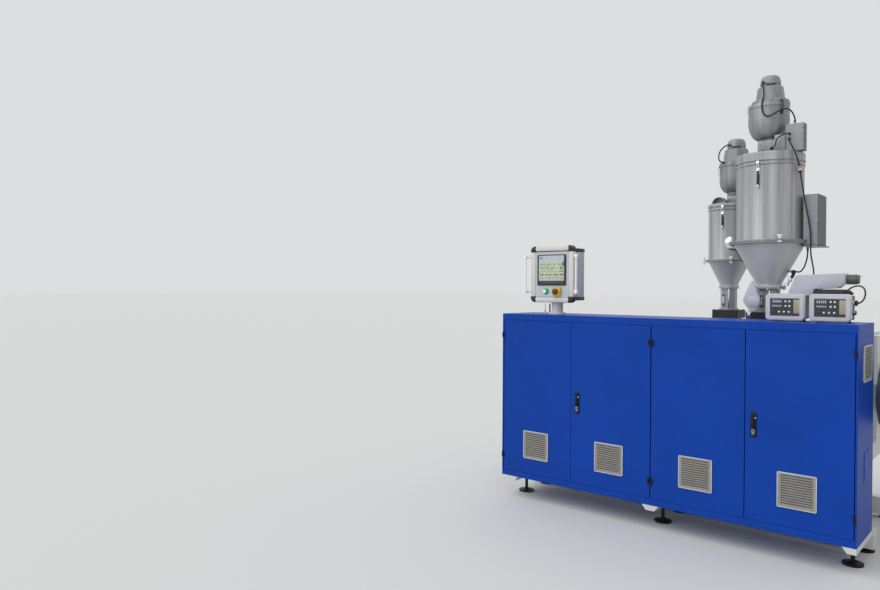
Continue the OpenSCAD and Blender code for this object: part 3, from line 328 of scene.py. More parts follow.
# Low round screw head with its recess
def screw(shape, place, radius, slot=0):
    turned(shape, [(0, -0.2), (radius, -0.2), (radius, radius * 0.25), (radius * 0.75, radius * 0.5),
                   (radius * 0.35, radius * 0.55), (radius * 0.35, radius * 0.25), (0, radius * 0.25)],
           sides=12, slot=slot, place=place)


# A place whose z axis points the given way
def facing(x, y, z, way):
    turn = {"front": Matrix.Rotation(math.pi / 2, 4, "X"), "back": Matrix.Rotation(-math.pi / 2, 4, "X"),
            "right": Matrix.Rotation(math.pi / 2, 4, "Y"), "left": Matrix.Rotation(-math.pi / 2, 4, "Y"),
            "up": Matrix(), "down": Matrix.Rotation(math.pi, 4, "X")}[way]
    return Matrix.Translation((x, y, z)) @ turn


# A place on an upright axis
def upright(x, y):
    return Matrix.Translation((x, y, 0))


# The same, turned so that its x axis points outwards at the given angle
def around(x, y, degrees):
    return upright(x, y) @ Matrix.Rotation(math.radians(degrees), 4, "Z")


# Makes the shape a piece of the scene, in metres, riding on its body, and empties it for the next piece
def finish(name, shape, *materials, body="machine", angle=35):
    to_metres = Matrix.Translation(at(0, 0, 0)) @ Matrix.Scale(0.001, 4)
    bmesh.ops.transform(shape, matrix=to_metres, verts=shape.verts)
    mesh = bpy.data.meshes.new(name)
    shape.to_mesh(mesh)
    shape.clear()
    for face in mesh.polygons:
        face.use_smooth = True
    mesh.set_sharp_from_angle(angle=math.radians(angle))
    for material in materials:
        mesh.materials.append(material)
    piece = bpy.data.objects.new(name, mesh)
    bpy.context.scene.collection.objects.link(piece)
    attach(piece, body)
    return piece


# Hoppers

# A wall and a flange round each hopper's axis
def hopper_sheets(shape, main, side):
    for axis, sides, (wall, flange) in ((MAIN, 128, main), (SIDE, 96, side)):
        turned(shape, wall, sides, 0, upright(*axis))
        turned(shape, flange, sides, 1, upright(*axis))


# The shape that each piece is made in
shape = bmesh.new()

# Drums: rolled sheet with a bead under the lid, and a flange at the foot
hopper_sheets(
    shape,
    ([(225, 2011), (236, 2011), (236, 2023), (231, 2026), (228, 2034), (228, 2552), (233, 2556),
      (235, 2562), (233, 2568), (228, 2572), (228, 2582), (225, 2582), (225, 2011)],
     [(226, 2010), (274, 2010), (274, 2019), (271, 2022), (226, 2022), (226, 2010)]),
    ([(155, 1897), (166, 1897), (166, 1907), (162, 1910), (158, 1918), (158, 2295), (163, 2299),
      (165, 2305), (163, 2311), (158, 2315), (158, 2325), (155, 2325), (155, 1897)],
     [(156, 1896), (178, 1896), (178, 1903), (175, 1906), (156, 1906), (156, 1896)]))
drums = finish("hopper_drum_sheets", shape, steel, loader_steel)
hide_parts("hopper_drums")

# Cones: a short neck, a flange at both ends, and the stub of the main cone's probe
hopper_sheets(
    shape,
    ([(85, 1686), (115, 1686), (115, 1692), (113, 1694), (88, 1694), (88, 1714), (240, 1996),
      (240, 2007), (237, 2007), (85, 1718), (85, 1686)],
     [(238, 1996), (271, 1996), (274, 1999), (274, 2008), (238, 2008), (238, 1996)]),
    ([(69, 1686), (75, 1686), (75, 1694), (72, 1694), (72, 1714), (148, 1874), (161, 1888),
      (161, 1894), (158, 1894), (69, 1718), (69, 1686)],
     [(159, 1888), (176, 1888), (178, 1890), (178, 1895), (159, 1895), (159, 1888)]))
rod(shape, (-635, 850, 1800), (-585, 850, 1800), 8, edge=1)
cones = finish("hopper_cone_sheets", shape, cone_steel, loader_steel)
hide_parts("hopper_cones")


# Toggle latch of a lid: hook, bow, lever plate and black grip, down to its length below the hook
def latch(shape, place, r, top, length):
    block(shape, (r + 8, -9, top - 4), (r + 15, 9, top + 22), 1.5, 0, place)
    wire(shape, [(r + 11, -7, top + 6), (r + 13, -7, top - 34), (r + 13, 7, top - 34), (r + 11, 7, top + 6)],
         2.6, place=place)
    block(shape, (r - 1, -12, top - 74), (r + 3, 12, top - 26), 1, 0, place)
    rod(shape, (r + 8, -12, top - 46), (r + 8, 12, top - 46), 7, edge=1, place=place)
    block(shape, (r + 3, -8, top - length + 20), (r + 13, 8, top - 54), 2.5, 1, place)
    rod(shape, (r + 9, 0, top - length), (r + 9, 0, top - length + 22), 6.5, edge=1.5, place=place)


# Screw clamp over a flange at the given radius and height, with a wing nut on top
def clamp(shape, place, r, z):
    rod(shape, (r, 0, z - 18), (r, 0, z + 40), 5, edge=1, place=place)
    block(shape, (r - 14, -15, z - 15), (r + 7, 15, z - 3), 2, 0, place)
    block(shape, (r - 14, -15, z + 13), (r + 7, 15, z + 22), 2, 0, place)
    rod(shape, (r, 0, z + 22), (r, 0, z + 33), 10, 7, edge=1, place=place)
    for low, high in ((-20, -5), (5, 20)):
        block(shape, (r - 3, low, z + 28), (r + 3, high, z + 42), 2.5, 0, place)


for angle in (-92.6, 87.4):
    latch(shape, around(*MAIN, angle), 228, 2558, 168)
for angle in (-89, 91):
    latch(shape, around(*SIDE, angle), 158, 2310, 160)
finish("hopper_latches", shape, bright_zinc, black_plastic)

for angle in (-59.5, 60):
    clamp(shape, around(*MAIN, angle), 269, 2014)
for angle, r in ((-158, 190), (-66, 180), (24, 180), (114, 180)):
    clamp(shape, around(*SIDE, angle), r, 1888)
finish("flange_clamps", shape, bright_zinc)

# Ear that the cone's arm turns in, left of the main flange, with the arm below it
ear = shape.verts.new((-1012, 838, 2066)), shape.verts.new((-1012, 838, 1978))
arc = [shape.verts.new((-1022 - 42 * math.sin(math.radians(a)), 838, 2022 - 46 * math.cos(math.radians(a))))
       for a in range(10, 171, 16)]
sheet = bmesh.ops.extrude_face_region(shape, geom=[shape.faces.new((ear[0], ear[1], *arc))])["geom"]
bmesh.ops.translate(shape, verts=[v for v in sheet if isinstance(v, bmesh.types.BMVert)], vec=(0, 24, 0))
bmesh.ops.recalc_face_normals(shape, faces=shape.faces[:])
dress(shape, shape.verts[:], 3, 0)
rod(shape, (-1036, 832, 2022), (-1036, 868, 2022), 9, edge=1.5)
# The arm takes the dark paint because it lies in shade: painted shade
wire(shape, [(-1038, 850, 1984), (-1022, 850, 1972), (-992, 848, 1968), (-972, 846, 1954), (-951, 844, 1918),
             (-924, 842, 1872)], 6, slot=1)
finish("cone_hinge", shape, bright_zinc, dark_paint)

# Throats: flanged tubes with a sight glass in a strip at the front, and a thin bright zinc strip up each tube
# that is a painted highlight
low, high = THROAT_FOOT, THROAT_TOP
for axis, tube, rim in ((MAIN, 78, 115), (SIDE, 62, 75)):
    turned(shape, [(tube - 4, low), (rim, low), (rim, low + 12), (tube + 4, low + 12), (tube, low + 16),
                   (tube, high - 16), (tube + 4, high - 12), (rim, high - 12), (rim, high), (tube - 4, high),
                   (tube - 4, low)], 64, 0, upright(*axis))
    place = around(*axis, -110)
    block(shape, (tube - 12, -15, 1532), (tube + 4, 15, 1648), 2, 0, place)
    block(shape, (tube - 2, -8, 1540), (tube + 7, 8, 1556), 2, 1, place)
    block(shape, (tube - 2, -8, 1612), (tube + 7, 8, 1628), 2, 1, place)
    rod(shape, (tube + 3, 0, 1556), (tube + 3, 0, 1612), 5.5, slot=2, place=place)
    # Thin bright zinc strip up the tube, turned towards the front right: a painted highlight on the tube
    block(shape, (tube - 3, -4, low + 16), (tube + 2.5, 4, high - 16), 1.5, 3, around(*axis, -71))
throats = finish("throat_tubes", shape, steel, black_plastic, white_key, bright_zinc)
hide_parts("hopper_throats")

# Bolts of the main throat's two flanges
for step in range(8):
    place = around(*MAIN, step * 45 + 12) @ Matrix.Translation((101, 0, 0))
    for z in (THROAT_FOOT + 12, THROAT_TOP + 8):
        bolt(shape, place @ Matrix.Translation((0, 0, z)), 8)
    bolt(shape, place @ Matrix.Translation((0, 0, THROAT_TOP - 12)) @ Matrix.Rotation(math.pi, 4, "X"), 9)
finish("flange_bolts", shape, bright_zinc)

# Heating probe along the main cone, where the heater's cable ends
rod(shape, (-590, 850, 1796), (-566, 850, 1796), 13, edge=2, slot=1)
rod(shape, (-569, 850, 1800), (-590, 850, 1752), 11, edge=1.5, slot=1)
rod(shape, (-590, 850, 1752), (-622, 850, 1702), 9, edge=1)
rod(shape, (-596, 850, 1742), (-603, 850, 1731), 14, sides=6, edge=1)
rod(shape, (-616, 850, 1711), (-622, 850, 1702), 14, sides=6, edge=1)
for z in (1716, 1766):
    block(shape, (-648 + (z - 1716) * 0.55, 842, z - 3), (-606 + (z - 1716) * 0.55, 858, z + 3), 1, 0)
finish("heating_probe", shape, bright_zinc, black_plastic)


# Dosers: a long cover, a drop-shaped one and the shaft behind it

# An outline of x and z, thick from one y to another
def upright_sheet(shape, outline, front, back, edge, slot=0):
    corners = [shape.verts.new((x, front, z)) for x, z in outline]
    made = bmesh.ops.extrude_face_region(shape, geom=[shape.faces.new(corners)])["geom"]
    moved = [v for v in made if isinstance(v, bmesh.types.BMVert)]
    bmesh.ops.translate(shape, verts=moved, vec=(0, back - front, 0))
    whole = corners + moved
    bmesh.ops.recalc_face_normals(shape, faces=list({f for v in whole for f in v.link_faces}))
    dress(shape, whole, edge, slot)


# Points of an arc from one angle to another
def arc_points(x, z, radius, start, end, steps):
    angles = [math.radians(start + (end - start) * k / steps) for k in range(steps + 1)]
    return [(x + radius * math.cos(a), z + radius * math.sin(a)) for a in angles]


upright_sheet(shape, [(-621, 1565), (-606, 1615), (-547, 1764), (-541, 1770), (-238, 1783), (-234, 1777),
                      (-234, 1724), (-248, 1706), (-279, 1680), (-425, 1673), (-429, 1649), (-441, 1565)],
              780, 900, 4, 0)
upright_sheet(shape, arc_points(-799, 1593, 57, -24, 0, 3) + arc_points(-799, 1593, 57, 8, 40, 4)
              + arc_points(-795, 1722, 9, 20, 160, 5) + arc_points(-799, 1593, 57, 158, 205, 6)
              + arc_points(-791, 1541, 32, 215, 325, 8), 632, 656, 3, 0)
turned(shape, [(0, 0), (40, 0), (40, 3), (37, 5), (0, 5)], 40, 0, facing(-781, 632, 1581, "front"))
rod(shape, (-799, 656, 1593), (-799, 776, 1593), 20, edge=1, slot=1)
rod(shape, (-799, 752, 1593), (-799, 768, 1593), 30, sides=8, edge=2, slot=1)
block(shape, (-640, 800, 1563), (-600, 880, 1612), 3, 1)
for x, z in ((-560, 1690), (-300, 1765), (-300, 1700), (-450, 1600)):
    screw(shape, facing(x, 780, z, "front"), 4, 2)
for x, z in ((-818, 1640), (-826, 1560)):
    screw(shape, facing(x, 632, z, "front"), 3.5, 2)
covers = finish("doser_sheets", shape, doser_coat, black_iron, bright_zinc)
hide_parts("doser_covers")

# Stud and fork under the drop-shaped cover, sleeve and studs of the drive behind it
block(shape, (-833, 636, 1499), (-800, 648, 1506), 1.5)
rod(shape, (-815, 642, 1468), (-815, 642, 1500), 7, edge=1)
rod(shape, (-829, 642, 1466), (-822, 642, 1500), 4, edge=1)
rod(shape, (-815, 642, 1506), (-815, 642, 1512), 8, sides=6, edge=1)
rod(shape, (-430, 786, 1648), (-196, 786, 1648), 17, edge=3, slot=1)
rod(shape, (-199, 786, 1650), (-190, 800, 1640), 9, edge=2, slot=1)
rod(shape, (-150, 840, 1762), (-143, 840, 1770), 7, sides=12, edge=1)
finish("doser_fittings", shape, bright_zinc, black_plastic)


# Loaders

# Bases: narrow boxes under the bowls, and the sheet that carries the main loader's cables
for (x, y), low, high, left, right, half in ((MAIN, 2648, 2760, -62, 55, 95),
                                             (SIDE_LOADER, 2353, 2435, -56, 70, 59)):
    block(shape, (x + left, y - half, low), (x + right, y + half, high - 10), 12)
    turned(shape, [(0, high - 11), (68, high - 11), (68, high - 2), (66, high), (0, high)], 48, 0,
           upright(x, y))
    for dx, z in ((left + 24, low + 68), (left + 34, low + 30)):
        screw(shape, facing(x + dx, y - half, z, "front"), 4, 1)
block(shape, (-692, 745, 2650), (-680, 890, 2740), 2)
block(shape, (-683, 738, 2648), (-611, 756, 2774), 2)
block(shape, (-690, 750, 2648), (-611, 900, 2746), 3)
rod(shape, (-704, 738, 2682), (-704, 757, 2682), 8, edge=1, slot=1)
bases = finish("loader_base_boxes", shape, loader_steel, black_plastic)
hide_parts("loader_bases")

# The main loader's bowl and straight part, which are wider than the side loader's
bowl = [(62 + 77 * math.sin(math.radians(a)), 2896 - 134 * math.cos(math.radians(a)))
        for a in range(0, 91, 9)]
turned(shape, [(0, 2762), *bowl, (139, 2976), (136, 2979), (136, 2986), (139.5, 2990), (139.5, 3007),
               (136, 3014), (0, 3014)], 96, 0, upright(*MAIN_BOWL))
finish("main_loader_bowl", shape, loader_steel)

# Rings where the bowls meet the loaders' straight parts, and black plates in the slots under the caps that
# paint the shade inside the slots
for (x, y), seam, rim, out in ((MAIN, 2896, 3016, 14), (SIDE_LOADER, 2539, 2659, 0)):
    turned(shape, [(124 + out, seam - 4), (126.2 + out, seam - 3), (126.2 + out, seam + 3),
                   (124 + out, seam + 4)], 72, 0, upright(x - out * 0.7, y))
    for turn in range(0, 360, 90):
        place = around(x, y, turn - 70)
        block(shape, (57, -27, rim + 133.5), (65.8, 27, rim + 143.5), 0, 1, place)
finish("loader_seams_and_painted_slot_shade", shape, loader_steel, black_plastic)

# Wire clips that hold the loaders' heads down, one black one on each
for axis, rim, out in ((MAIN_BOWL, 2996, 14), (SIDE_LOADER, 2639, 0)):
    for angle, slot in ((-147, 0), (-38, 1), (70, 0)):
        place = around(*axis, angle) @ Matrix.Translation((out, 0, 0))
        block(shape, (124, -9, rim - 72), (128, 9, rim - 42), 1, slot, place)
        wire(shape, [(131, -6, rim - 66), (137, -6, rim - 40), (139, -6, rim + 4), (133, -6, rim + 26),
                     (133, 6, rim + 26), (139, 6, rim + 4), (137, 6, rim - 40), (131, 6, rim - 66)], 2.6,
             slot=slot, place=place)
        block(shape, (126, -8, rim + 20), (133, 8, rim + 30), 1.5, slot, place)
finish("loader_clips", shape, bright_zinc, black_plastic)

# Plug in the drop cable, with its cream collar and black sleeve
rod(shape, (-516, 741, 2536), (-514.5, 744, 2520), 14, edge=2)
rod(shape, (-514.5, 744, 2520), (-512.5, 747.5, 2504), 15, edge=2, slot=1)
rod(shape, (-512.5, 747.5, 2504), (-511, 750, 2488), 13, 10, edge=2, slot=2)
rod(shape, (-517.5, 737, 2550), (-516, 741, 2536), 7, 11, slot=2)
drop_plug = finish("drop_cable_plug", shape, orange_plastic, cream_vinyl, black_plastic)

# Screws and feet of the two boxes beside the hopper
for z in (2672, 2716, 2760, 2804):
    screw(shape, facing(-498, 747, z, "front"), 3.5, 1)
for x in (-604, -502):
    block(shape, (x - 7, 750, 2645), (x + 7, 776, 2651), 1, 1)
for x in (-490, -416):
    for z in (1992, 2156, 2320):
        screw(shape, facing(x, 794, z, "front"), 3)
for z in (2010, 2300):
    for y in (830, 1000):
        screw(shape, facing(-409, y, z, "right"), 3)
finish("box_screws", shape, bright_zinc, black_plastic)

# Cable glands where cables enter boxes and loaders: a hexagon nut with a tapered sleeve
for x, y, z, way in ((-772, 766, 3172, "front"), (-560, 785, 2864, "up"), (-704, 738, 2682, "front"),
                     (-583, 733, 2769, "front"), (-583, 733, 2733, "front"), (-485, 850, 1955, "down"),
                     (-69, 295, 1587, "right"), (-314, 780, 1608, "front"), (-370, 902, 1620, "back"),
                     (-1130, 1116, 2815, "front"), (-1164, 1074, 2676, "front")):
    place = facing(x, y, z, way)
    rod(shape, (0, 0, -7), (0, 0, 0), 10, sides=6, edge=1, place=place)
    rod(shape, (0, 0, 0), (0, 0, 14), 7.5, 4.6, place=place)
finish("cable_sleeves", shape, black_plastic)


# Operator panel

# Picture on the screen: plain coloured marks in rows, each row with its height, its thickness and its marks
SLOT_OF_MARK = {"w": 2, "c": 3, "d": 4, "r": 5, "h": 6}
block(shape, (-2252, 96.9, 1729), (-2023, 99, 1926))
for low, high in ((1884, 1925), (1730, 1739)):
    block(shape, (-2251, 96.6, low), (-2024, 97, high), 0, 1)
for row, (z, height, plan) in enumerate((
        (1908, 9, "h"), (1858, 9, "wwcw.wwcw.ww..dccd"), (1843, 4, "cc.c.ccc..cc...ccc"),
        (1828, 12, "cwc.www.cwc.c..ddc"), (1812, 5, "..cc..cccc.....ccdc"), (1800, 6, "ccc.ccc.cc.ccc.dddc"),
        (1776, 11, "ddr.rrwrd.rrrd.dddr"), (1756, 5, "cc.cc.ccc.cc.cc.cc"), (1747, 5, ".ww..ccc.ww.cc.ccc"))):
    for k, mark in enumerate(plan):
        if mark == ".":
            continue
        left = -2244 + 12 * k + (3 * row) % 5
        right = left + (26 if mark == "h" else 9.5)
        block(shape, (left, 96.3, z - height / 2), (right, 96.7, z + height / 2), 0, SLOT_OF_MARK[mark])
finish("screen_picture", shape, *picture, display_window)

# Strip, slot and screws below the screen, and a dark tab at its right edge
block(shape, (-2251, 97.2, 1716), (-2024, 99, 1729))
block(shape, (-2220, 96.2, 1700), (-2040, 97.2, 1721), 1, 1)
for x in (-2232, -2043):
    turned(shape, [(0, 0), (7, 0), (7, 1), (5.5, 1.6), (0, 1.6)], 20, 2, facing(x, 97.4, 1710, "front"))
block(shape, (-2037, 95.6, 1843), (-2025, 97.2, 1878), 1, 2)
finish("bezel_marks", shape, dark_paint, smoked_acrylic, display_window)

# Front frame of rounded profiles round a face sheet, with a smaller ribbed box behind it
block(shape, (-2296, 100, 1961), (-1976, 148, 2003), 12)
block(shape, (-2296, 100, 1558), (-1976, 148, 1601), 12)
block(shape, (-2331, 100, 1602), (-2285, 148, 1958), 12)
block(shape, (-1987, 100, 1602), (-1941, 148, 1958), 12)
block(shape, (-2286, 105, 1602), (-1986, 130, 1955), 0, 1)
# Black sheet just behind the face sheet, showing as a thin dark border round it: painted shade of the gap
# between frame and face sheet
block(shape, (-2290, 112, 1598), (-1982, 132, 1963), 0, 2)
block(shape, (-2325, 140, 1578), (-1947, 280, 1979), 10, 1)
block(shape, (-2326.5, 146, 1577), (-1945.5, 153, 1980), 0, 2)
for x in (-2325, -1947):
    for k in range(7):
        block(shape, (x - 3, 163 + 16 * k, 1612), (x + 3, 171 + 16 * k, 1944), 1.5, 1)
housing = finish("panel_profiles", shape, pale_coat, grey_coat, black_plastic)
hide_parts("panel_housing")

# Rounded black corners of the front frame, and black corners of the box behind
for side in (-1, 1):
    x = PANEL_X + side * 155
    for up, z in ((1, 1963), (-1, 1598)):
        arc = [(x + side * 40 * math.cos(math.radians(a)), z + up * 40 * math.sin(math.radians(a)))
               for a in range(90, -1, -10)]
        outline = [(x - side * 7, z - up * 7), (x - side * 7, z + up * 40), *arc, (x + side * 40, z - up * 7)]
        upright_sheet(shape, outline, 99, 150, 3)
        rod(shape, (x + side * 12, 98, z + up * 12), (x + side * 12, 100, z + up * 12), 6, edge=0.5)
    left, right = sorted((x - side * 8, x + side * 36))
    for low, high in ((1576.5, 1606), (1950, 1980.5)):
        block(shape, (left, 152, low), (right, 281, high), 6)
corners = finish("panel_corner_pieces", shape, black_plastic)
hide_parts("panel_corners")

# Bar handles that stand out sideways and forwards from the frame
for side in (-1, 1):
    x = PANEL_X + side * 230
    rod(shape, (x, 80, 1641), (x, 80, 1920), 8, sides=24)
    for z in (1643, 1918):
        block(shape, (x - 13, 67, z - 15), (x + 13, 93, z + 15), 5)
        rod(shape, (x, 82, z), (PANEL_X + side * 196, 122, z), 9, edge=1)
        rod(shape, (PANEL_X + side * 194, 124, z), (PANEL_X + side * 199, 124, z), 15, edge=1.5)
handles = finish("panel_bar_handles", shape, white_key)
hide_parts("panel_handles")

# Green lit button in its ring, and the boxed mushroom button
place = facing(-2189, 105, 1646, "front")
turned(shape, [(0, 0), (24, 0), (24, 6), (21, 9), (0, 9)], 32, 1, place)
turned(shape, [(0, 8), (19, 8), (19, 15), (15, 19), (0, 20)], 32, 1, place)
turned(shape, [(0, 19), (13, 19), (10, 21.4), (0, 22)], 24, 2, facing(-2192, 105, 1646, "front"))
block(shape, (-2122, 84, 1611), (-2050, 105, 1676), 6, 3)
place = facing(-2086, 105, 1645, "front")
turned(shape, [(0, 20), (24, 20), (24, 25), (15, 27), (15, 31), (0, 31)], 28, 3, place)
turned(shape, [(0, 30), (20, 30), (24, 34), (24, 41), (19, 47), (8, 50), (0, 50)], 36, 4, place)
buttons = finish("panel_push_buttons", shape, aluminium, signal_green, lit_lens, yellow_plastic, signal_red)
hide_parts("panel_buttons")

# Bolts and collar of the post's foot
for angle in (45, 135, 225, 315):
    bolt(shape, around(PANEL_X, 190, angle) @ Matrix.Translation((58, 0, 1475)), 7)
turned(shape, [(44, 1475), (56, 1475), (56, 1478), (44, 1484)], 40, 1, upright(PANEL_X, 190))
finish("panel_fixings", shape, aluminium, pale_coat)


# Dosing controllers: keys and displays behind a smoked window

for x in CONTROLLER_X:
    block(shape, (x - 88, 205.4, 1500), (x + 88, 207.4, 1614))
    for low, high in ((1581, 1604), (1555, 1572)):
        block(shape, (x - 78, 204.8, low), (x - 16, 205.6, high), 1, 1)
        for k in range(5):
            left = x - 74 + 11.5 * k
            block(shape, (left, 204.5, low + 4), (left + 7, 205, high - 4), 0, 2)
    block(shape, (x + 52, 204.4, 1518), (x + 87, 205.6, 1604), 1, 3)
    for k in range(6):
        block(shape, (x + 56, 204.1, 1524 + 13 * k), (x + 82 - 5 * (k % 3), 204.6, 1529 + 13 * k), 0, 6)
    for dx, dz, slot in ((4.5, 36, 4), (27.5, 36, 4), (4.5, 6, 4), (27.5, 6, 4),
                         (-61, -31, 5), (-33.5, -31, 4), (-4.5, -31, 4), (24, -31, 4)):
        turned(shape, [(0, 0), (6.4, 0), (6.4, 1), (5.4, 3.4), (3, 4.2), (0, 4.2)], 20, slot,
               facing(x + dx, 205.6, 1557 + dz, "front"))
    block(shape, (x - 86, 204.6, 1610), (x + 86, 206, 1613.5), 0, 3)
finish("controller_keys", shape, smoked_acrylic, display_window, picture[1], cream_film, white_key,
       signal_red, picture[2])

# Screws on the controllers' tops, and the plugs on the right one's side
for x in CONTROLLER_X:
    for dx in (-78, 78):
        for y in (250, 340):
            screw(shape, facing(x + dx, y, 1637, "up"), 4)
rod(shape, (-93, 295, 1587), (-78, 295, 1587), 17, edge=2, slot=1)
rod(shape, (-93, 295, 1527), (-74, 295, 1527), 15, edge=2)
block(shape, (-79, 281, 1570), (-62, 309, 1603), 4, 2)
finish("controller_plugs", shape, zinc, white_plastic, black_plastic)


# Swing handles of the doors, each a dish, a lever and a key cap, whose bright zinc disc is a painted
# highlight

for name, x, door in (("lock_2", -1842.5, "door_2"), ("lock_4", -577.5, "door_4")):
    block(shape, (x - 18, -5, 737), (x + 18, 0, 891), 3)
    block(shape, (x - 12, -8, 838), (x + 12, -4, 884), 2)
    block(shape, (x - 11, -16, 792), (x + 8, -7, 876), 4)
    rod(shape, (x + 13, -9, 860), (x + 13, -4, 860), 8, edge=1)
    # Bright zinc disc on the black boss: a painted highlight on the boss's side
    turned(shape, [(0, 0), (5, 0), (5, 2), (4, 3), (0, 3)], 20, 1, facing(x + 13, -9, 860, "front"))
    for z, out in ((777, 10.5), (759, 9)):
        turned(shape, [(5.5, 0), (out, 0), (out, 4), (out - 2, 5.5), (5.5, 5.5), (5.5, 0)], 24, 2,
               facing(x - 1, -5, z, "front"))
    handle = finish(name + "_handle", shape, black_coat, bright_zinc, zinc, body=door)
    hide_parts(name)


# Light edge frames of the filter grilles, which are painted highlights on the grilles' rims, and fleece mats,
# on the doors and on the right end
for number, x in enumerate(GRILLE_X, 1):
    for low, high in HIGHLIGHT_EDGE_BARS:
        block(shape, (x + low[0], -8.4, GRILLE_Z + low[1]), (x + high[0], -1, GRILLE_Z + high[1]), 1)
    block(shape, (x - 90, -3, GRILLE_Z - 92), (x + 90, 12, GRILLE_Z + 92), 0, 1)
    finish(f"grille_{number}_painted_highlight_frame_and_mat", shape, white_plastic, filter_fleece, body=f"door_{number}")
for low, high in HIGHLIGHT_EDGE_BARS:
    block(shape, (1, 243 + low[0], 1227 + low[1]), (8.4, 243 + high[0], 1227 + high[1]), 1)
block(shape, (-12, 153, 1135), (3, 333, 1319), 0, 1)
finish("end_grille_painted_highlight_bars_and_mat", shape, white_plastic, filter_fleece)

# Black sleeves of the hinges' moving halves, riding on the doors
for number, x, side in DOOR_HINGES:
    near, far = sorted((x, x - side * 10.5))
    for z in (331, 1294):
        rod(shape, (x, -8, z + 0.5), (x, -8, z + 22), 7.4, edge=1)
        block(shape, (near, -8.6, z + 0.5), (far, -0.5, z + 22), 1)
    finish(f"hinge_sleeves_{number}", shape, black_coat, body=f"door_{number}")

# Rubber seal in the middle gap, and edge strips that close the narrow gaps
block(shape, (-1272, 22, 216), (-1258, 24.8, 1412))
block(shape, (-2519, 2, 211), (-11, 10, 215), 0, 1)
block(shape, (-2519, 2, 1413), (-11, 10, 1417), 0, 1)
finish("cabinet_seals", shape, rubber, blue_coat)
block(shape, (-1899, 2, 216), (-1894, 10, 1412))
finish("door_2_edge_strip", shape, blue_coat, body="door_2")


# Screws of the cabinet's back and of the cover on its right end

for k in range(9):
    for z in (190, 800, 1400):
        screw(shape, facing(-2505 + 310 * k, 440, z, "back"), 5)
for y in (197, 318):
    for z in (527, 683):
        screw(shape, facing(2, y, z, "right"), 4.5)
finish("cabinet_screws", shape, zinc)


# Bolts and fittings of the drives behind the cabinet

# Each gearbox's left, right, middle, half width, top and split line, then the height of its motor's axis
# and its flange's radius, end and bolt size
for left, right, y, half, top, split, motor_z, flange, motor_end, size in (
        (-600, -20, 850, 190, 1385, 1086, 970, 203, 4, 7),
        (-1033, -723, 1200, 110, 1300, 1131, 1060, 108, -699, 4)):
    for k in range(6):
        x = left + 40 + (right - left - 70) * k / 5
        for side in (-1, 1):
            bolt(shape, facing(x, y + side * (half - 7), split, "up"), 5)
            if k in (0, 3, 5):
                bolt(shape, facing(x, y + side * (half - 8), 706, "up"), 6)
    for k in range(8):
        a = math.radians(45 * k + 22.5)
        across, up = (flange - 11) * math.cos(a), (flange - 11) * math.sin(a)
        bolt(shape, facing(motor_end, y + across, motor_z + up, "right"), size)
    turned(shape, [(0, 0), (14, 0), (14, 12), (20, 14), (20, 30), (15, 36), (0, 36)], 20, 0,
           facing((left + right) / 2 - 40, y + 20, top, "up"))
    turned(shape, [(0, 0), (22, 0), (22, 5), (15, 7), (15, 4), (0, 4)], 24, 0,
           facing(left + 150, y + half - 14, split - 180, "back"))
    middle = (left + right) / 2 + 60
    eye = [(middle + 18 * math.cos(math.radians(a)), y, top + 24 + 18 * math.sin(math.radians(a)))
           for a in range(-80, 261, 20)]
    wire(shape, eye, 5)
    rod(shape, (eye[0][0] - 3, y, top), (eye[0][0] - 3, y, top + 8), 14, edge=1)
# Screws on the motors' terminal boxes, and bolts on the feed housings round the throats
for x, y, z, wide, deep, size in ((196, 850, 1243, 214, 78, 5), (-603, 1200, 1200, 110, 40, 3.5)):
    for dx in (10, wide - 10):
        for dy in (10 - deep, deep - 10):
            screw(shape, facing(x + dx, y + dy, z, "up"), size)
for (x, y), half in ((MAIN, 112), (SIDE, 86)):
    for dx in (-half, half):
        for dy in (-half, half):
            bolt(shape, facing(x + dx, y + dy, THROAT_FOOT, "up"), 7)
finish("drive_bolts", shape, zinc)

# Screws along the barrel covers, seams between their lengths and lifting grips on top
for left, right, y, half in ((-2620, -905, 850, 150), (-2370, -1288, 1200, 110)):
    low, high = BARREL_Z - half, BARREL_Z + half
    for k in range(13):
        x = left + 20 + (right - left - 40) * k / 12
        for way, side in (("front", -1), ("back", 1)):
            for z in (low + 13, high - 13):
                screw(shape, facing(x, y + side * half, z, way), 5)
    for k in (1, 2):
        x = left + (right - left) * k / 3
        block(shape, (x - 1, y - half - 0.3, low + 12), (x + 1, y + half + 0.3, high + 0.3), 0, 1)
    for k in (0.5, 1.5, 2.5):
        x = left + (right - left) * k / 3
        wire(shape, [(x - 60, y, high - 2), (x - 60, y, high + 22), (x - 50, y, high + 32),
                     (x + 50, y, high + 32), (x + 60, y, high + 22), (x + 60, y, high - 2)], 5, slot=2)
finish("barrel_cover_fixings", shape, zinc, black_plastic, black_coat)


# Cables, each along its route

# An even curve through all the points of a route
def smooth(route, steps=6):
    points = [Vector(p) for p in route]
    out = []
    for i in range(len(points) - 1):
        a, b, c, d = points[max(i - 1, 0)], points[i], points[i + 1], points[min(i + 2, len(points) - 1)]
        for j in range(steps):
            t = j / steps
            out.append(0.5 * (2 * b + (c - a) * t + (2 * a - 5 * b + 4 * c - d) * t * t
                              + (3 * b - a - 3 * c + d) * t * t * t))
    return [at(*p) for p in out + [points[-1]]]


def cable(name, route, radius, material):
    points = smooth(route)
    curve = bpy.data.curves.new(name, "CURVE")
    curve.dimensions = "3D"
    curve.bevel_depth = radius / 1000
    curve.bevel_resolution = 3
    curve.use_fill_caps = True
    spline = curve.splines.new("POLY")
    spline.points.add(len(points) - 1)
    for spot, point in zip(spline.points, points):
        spot.co = (*point, 1)
    spline.use_smooth = True
    curve.materials.append(material)
    piece = bpy.data.objects.new(name + "_sheath", curve)
    bpy.context.scene.collection.objects.link(piece)
    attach(piece, "machine")
    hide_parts(name)


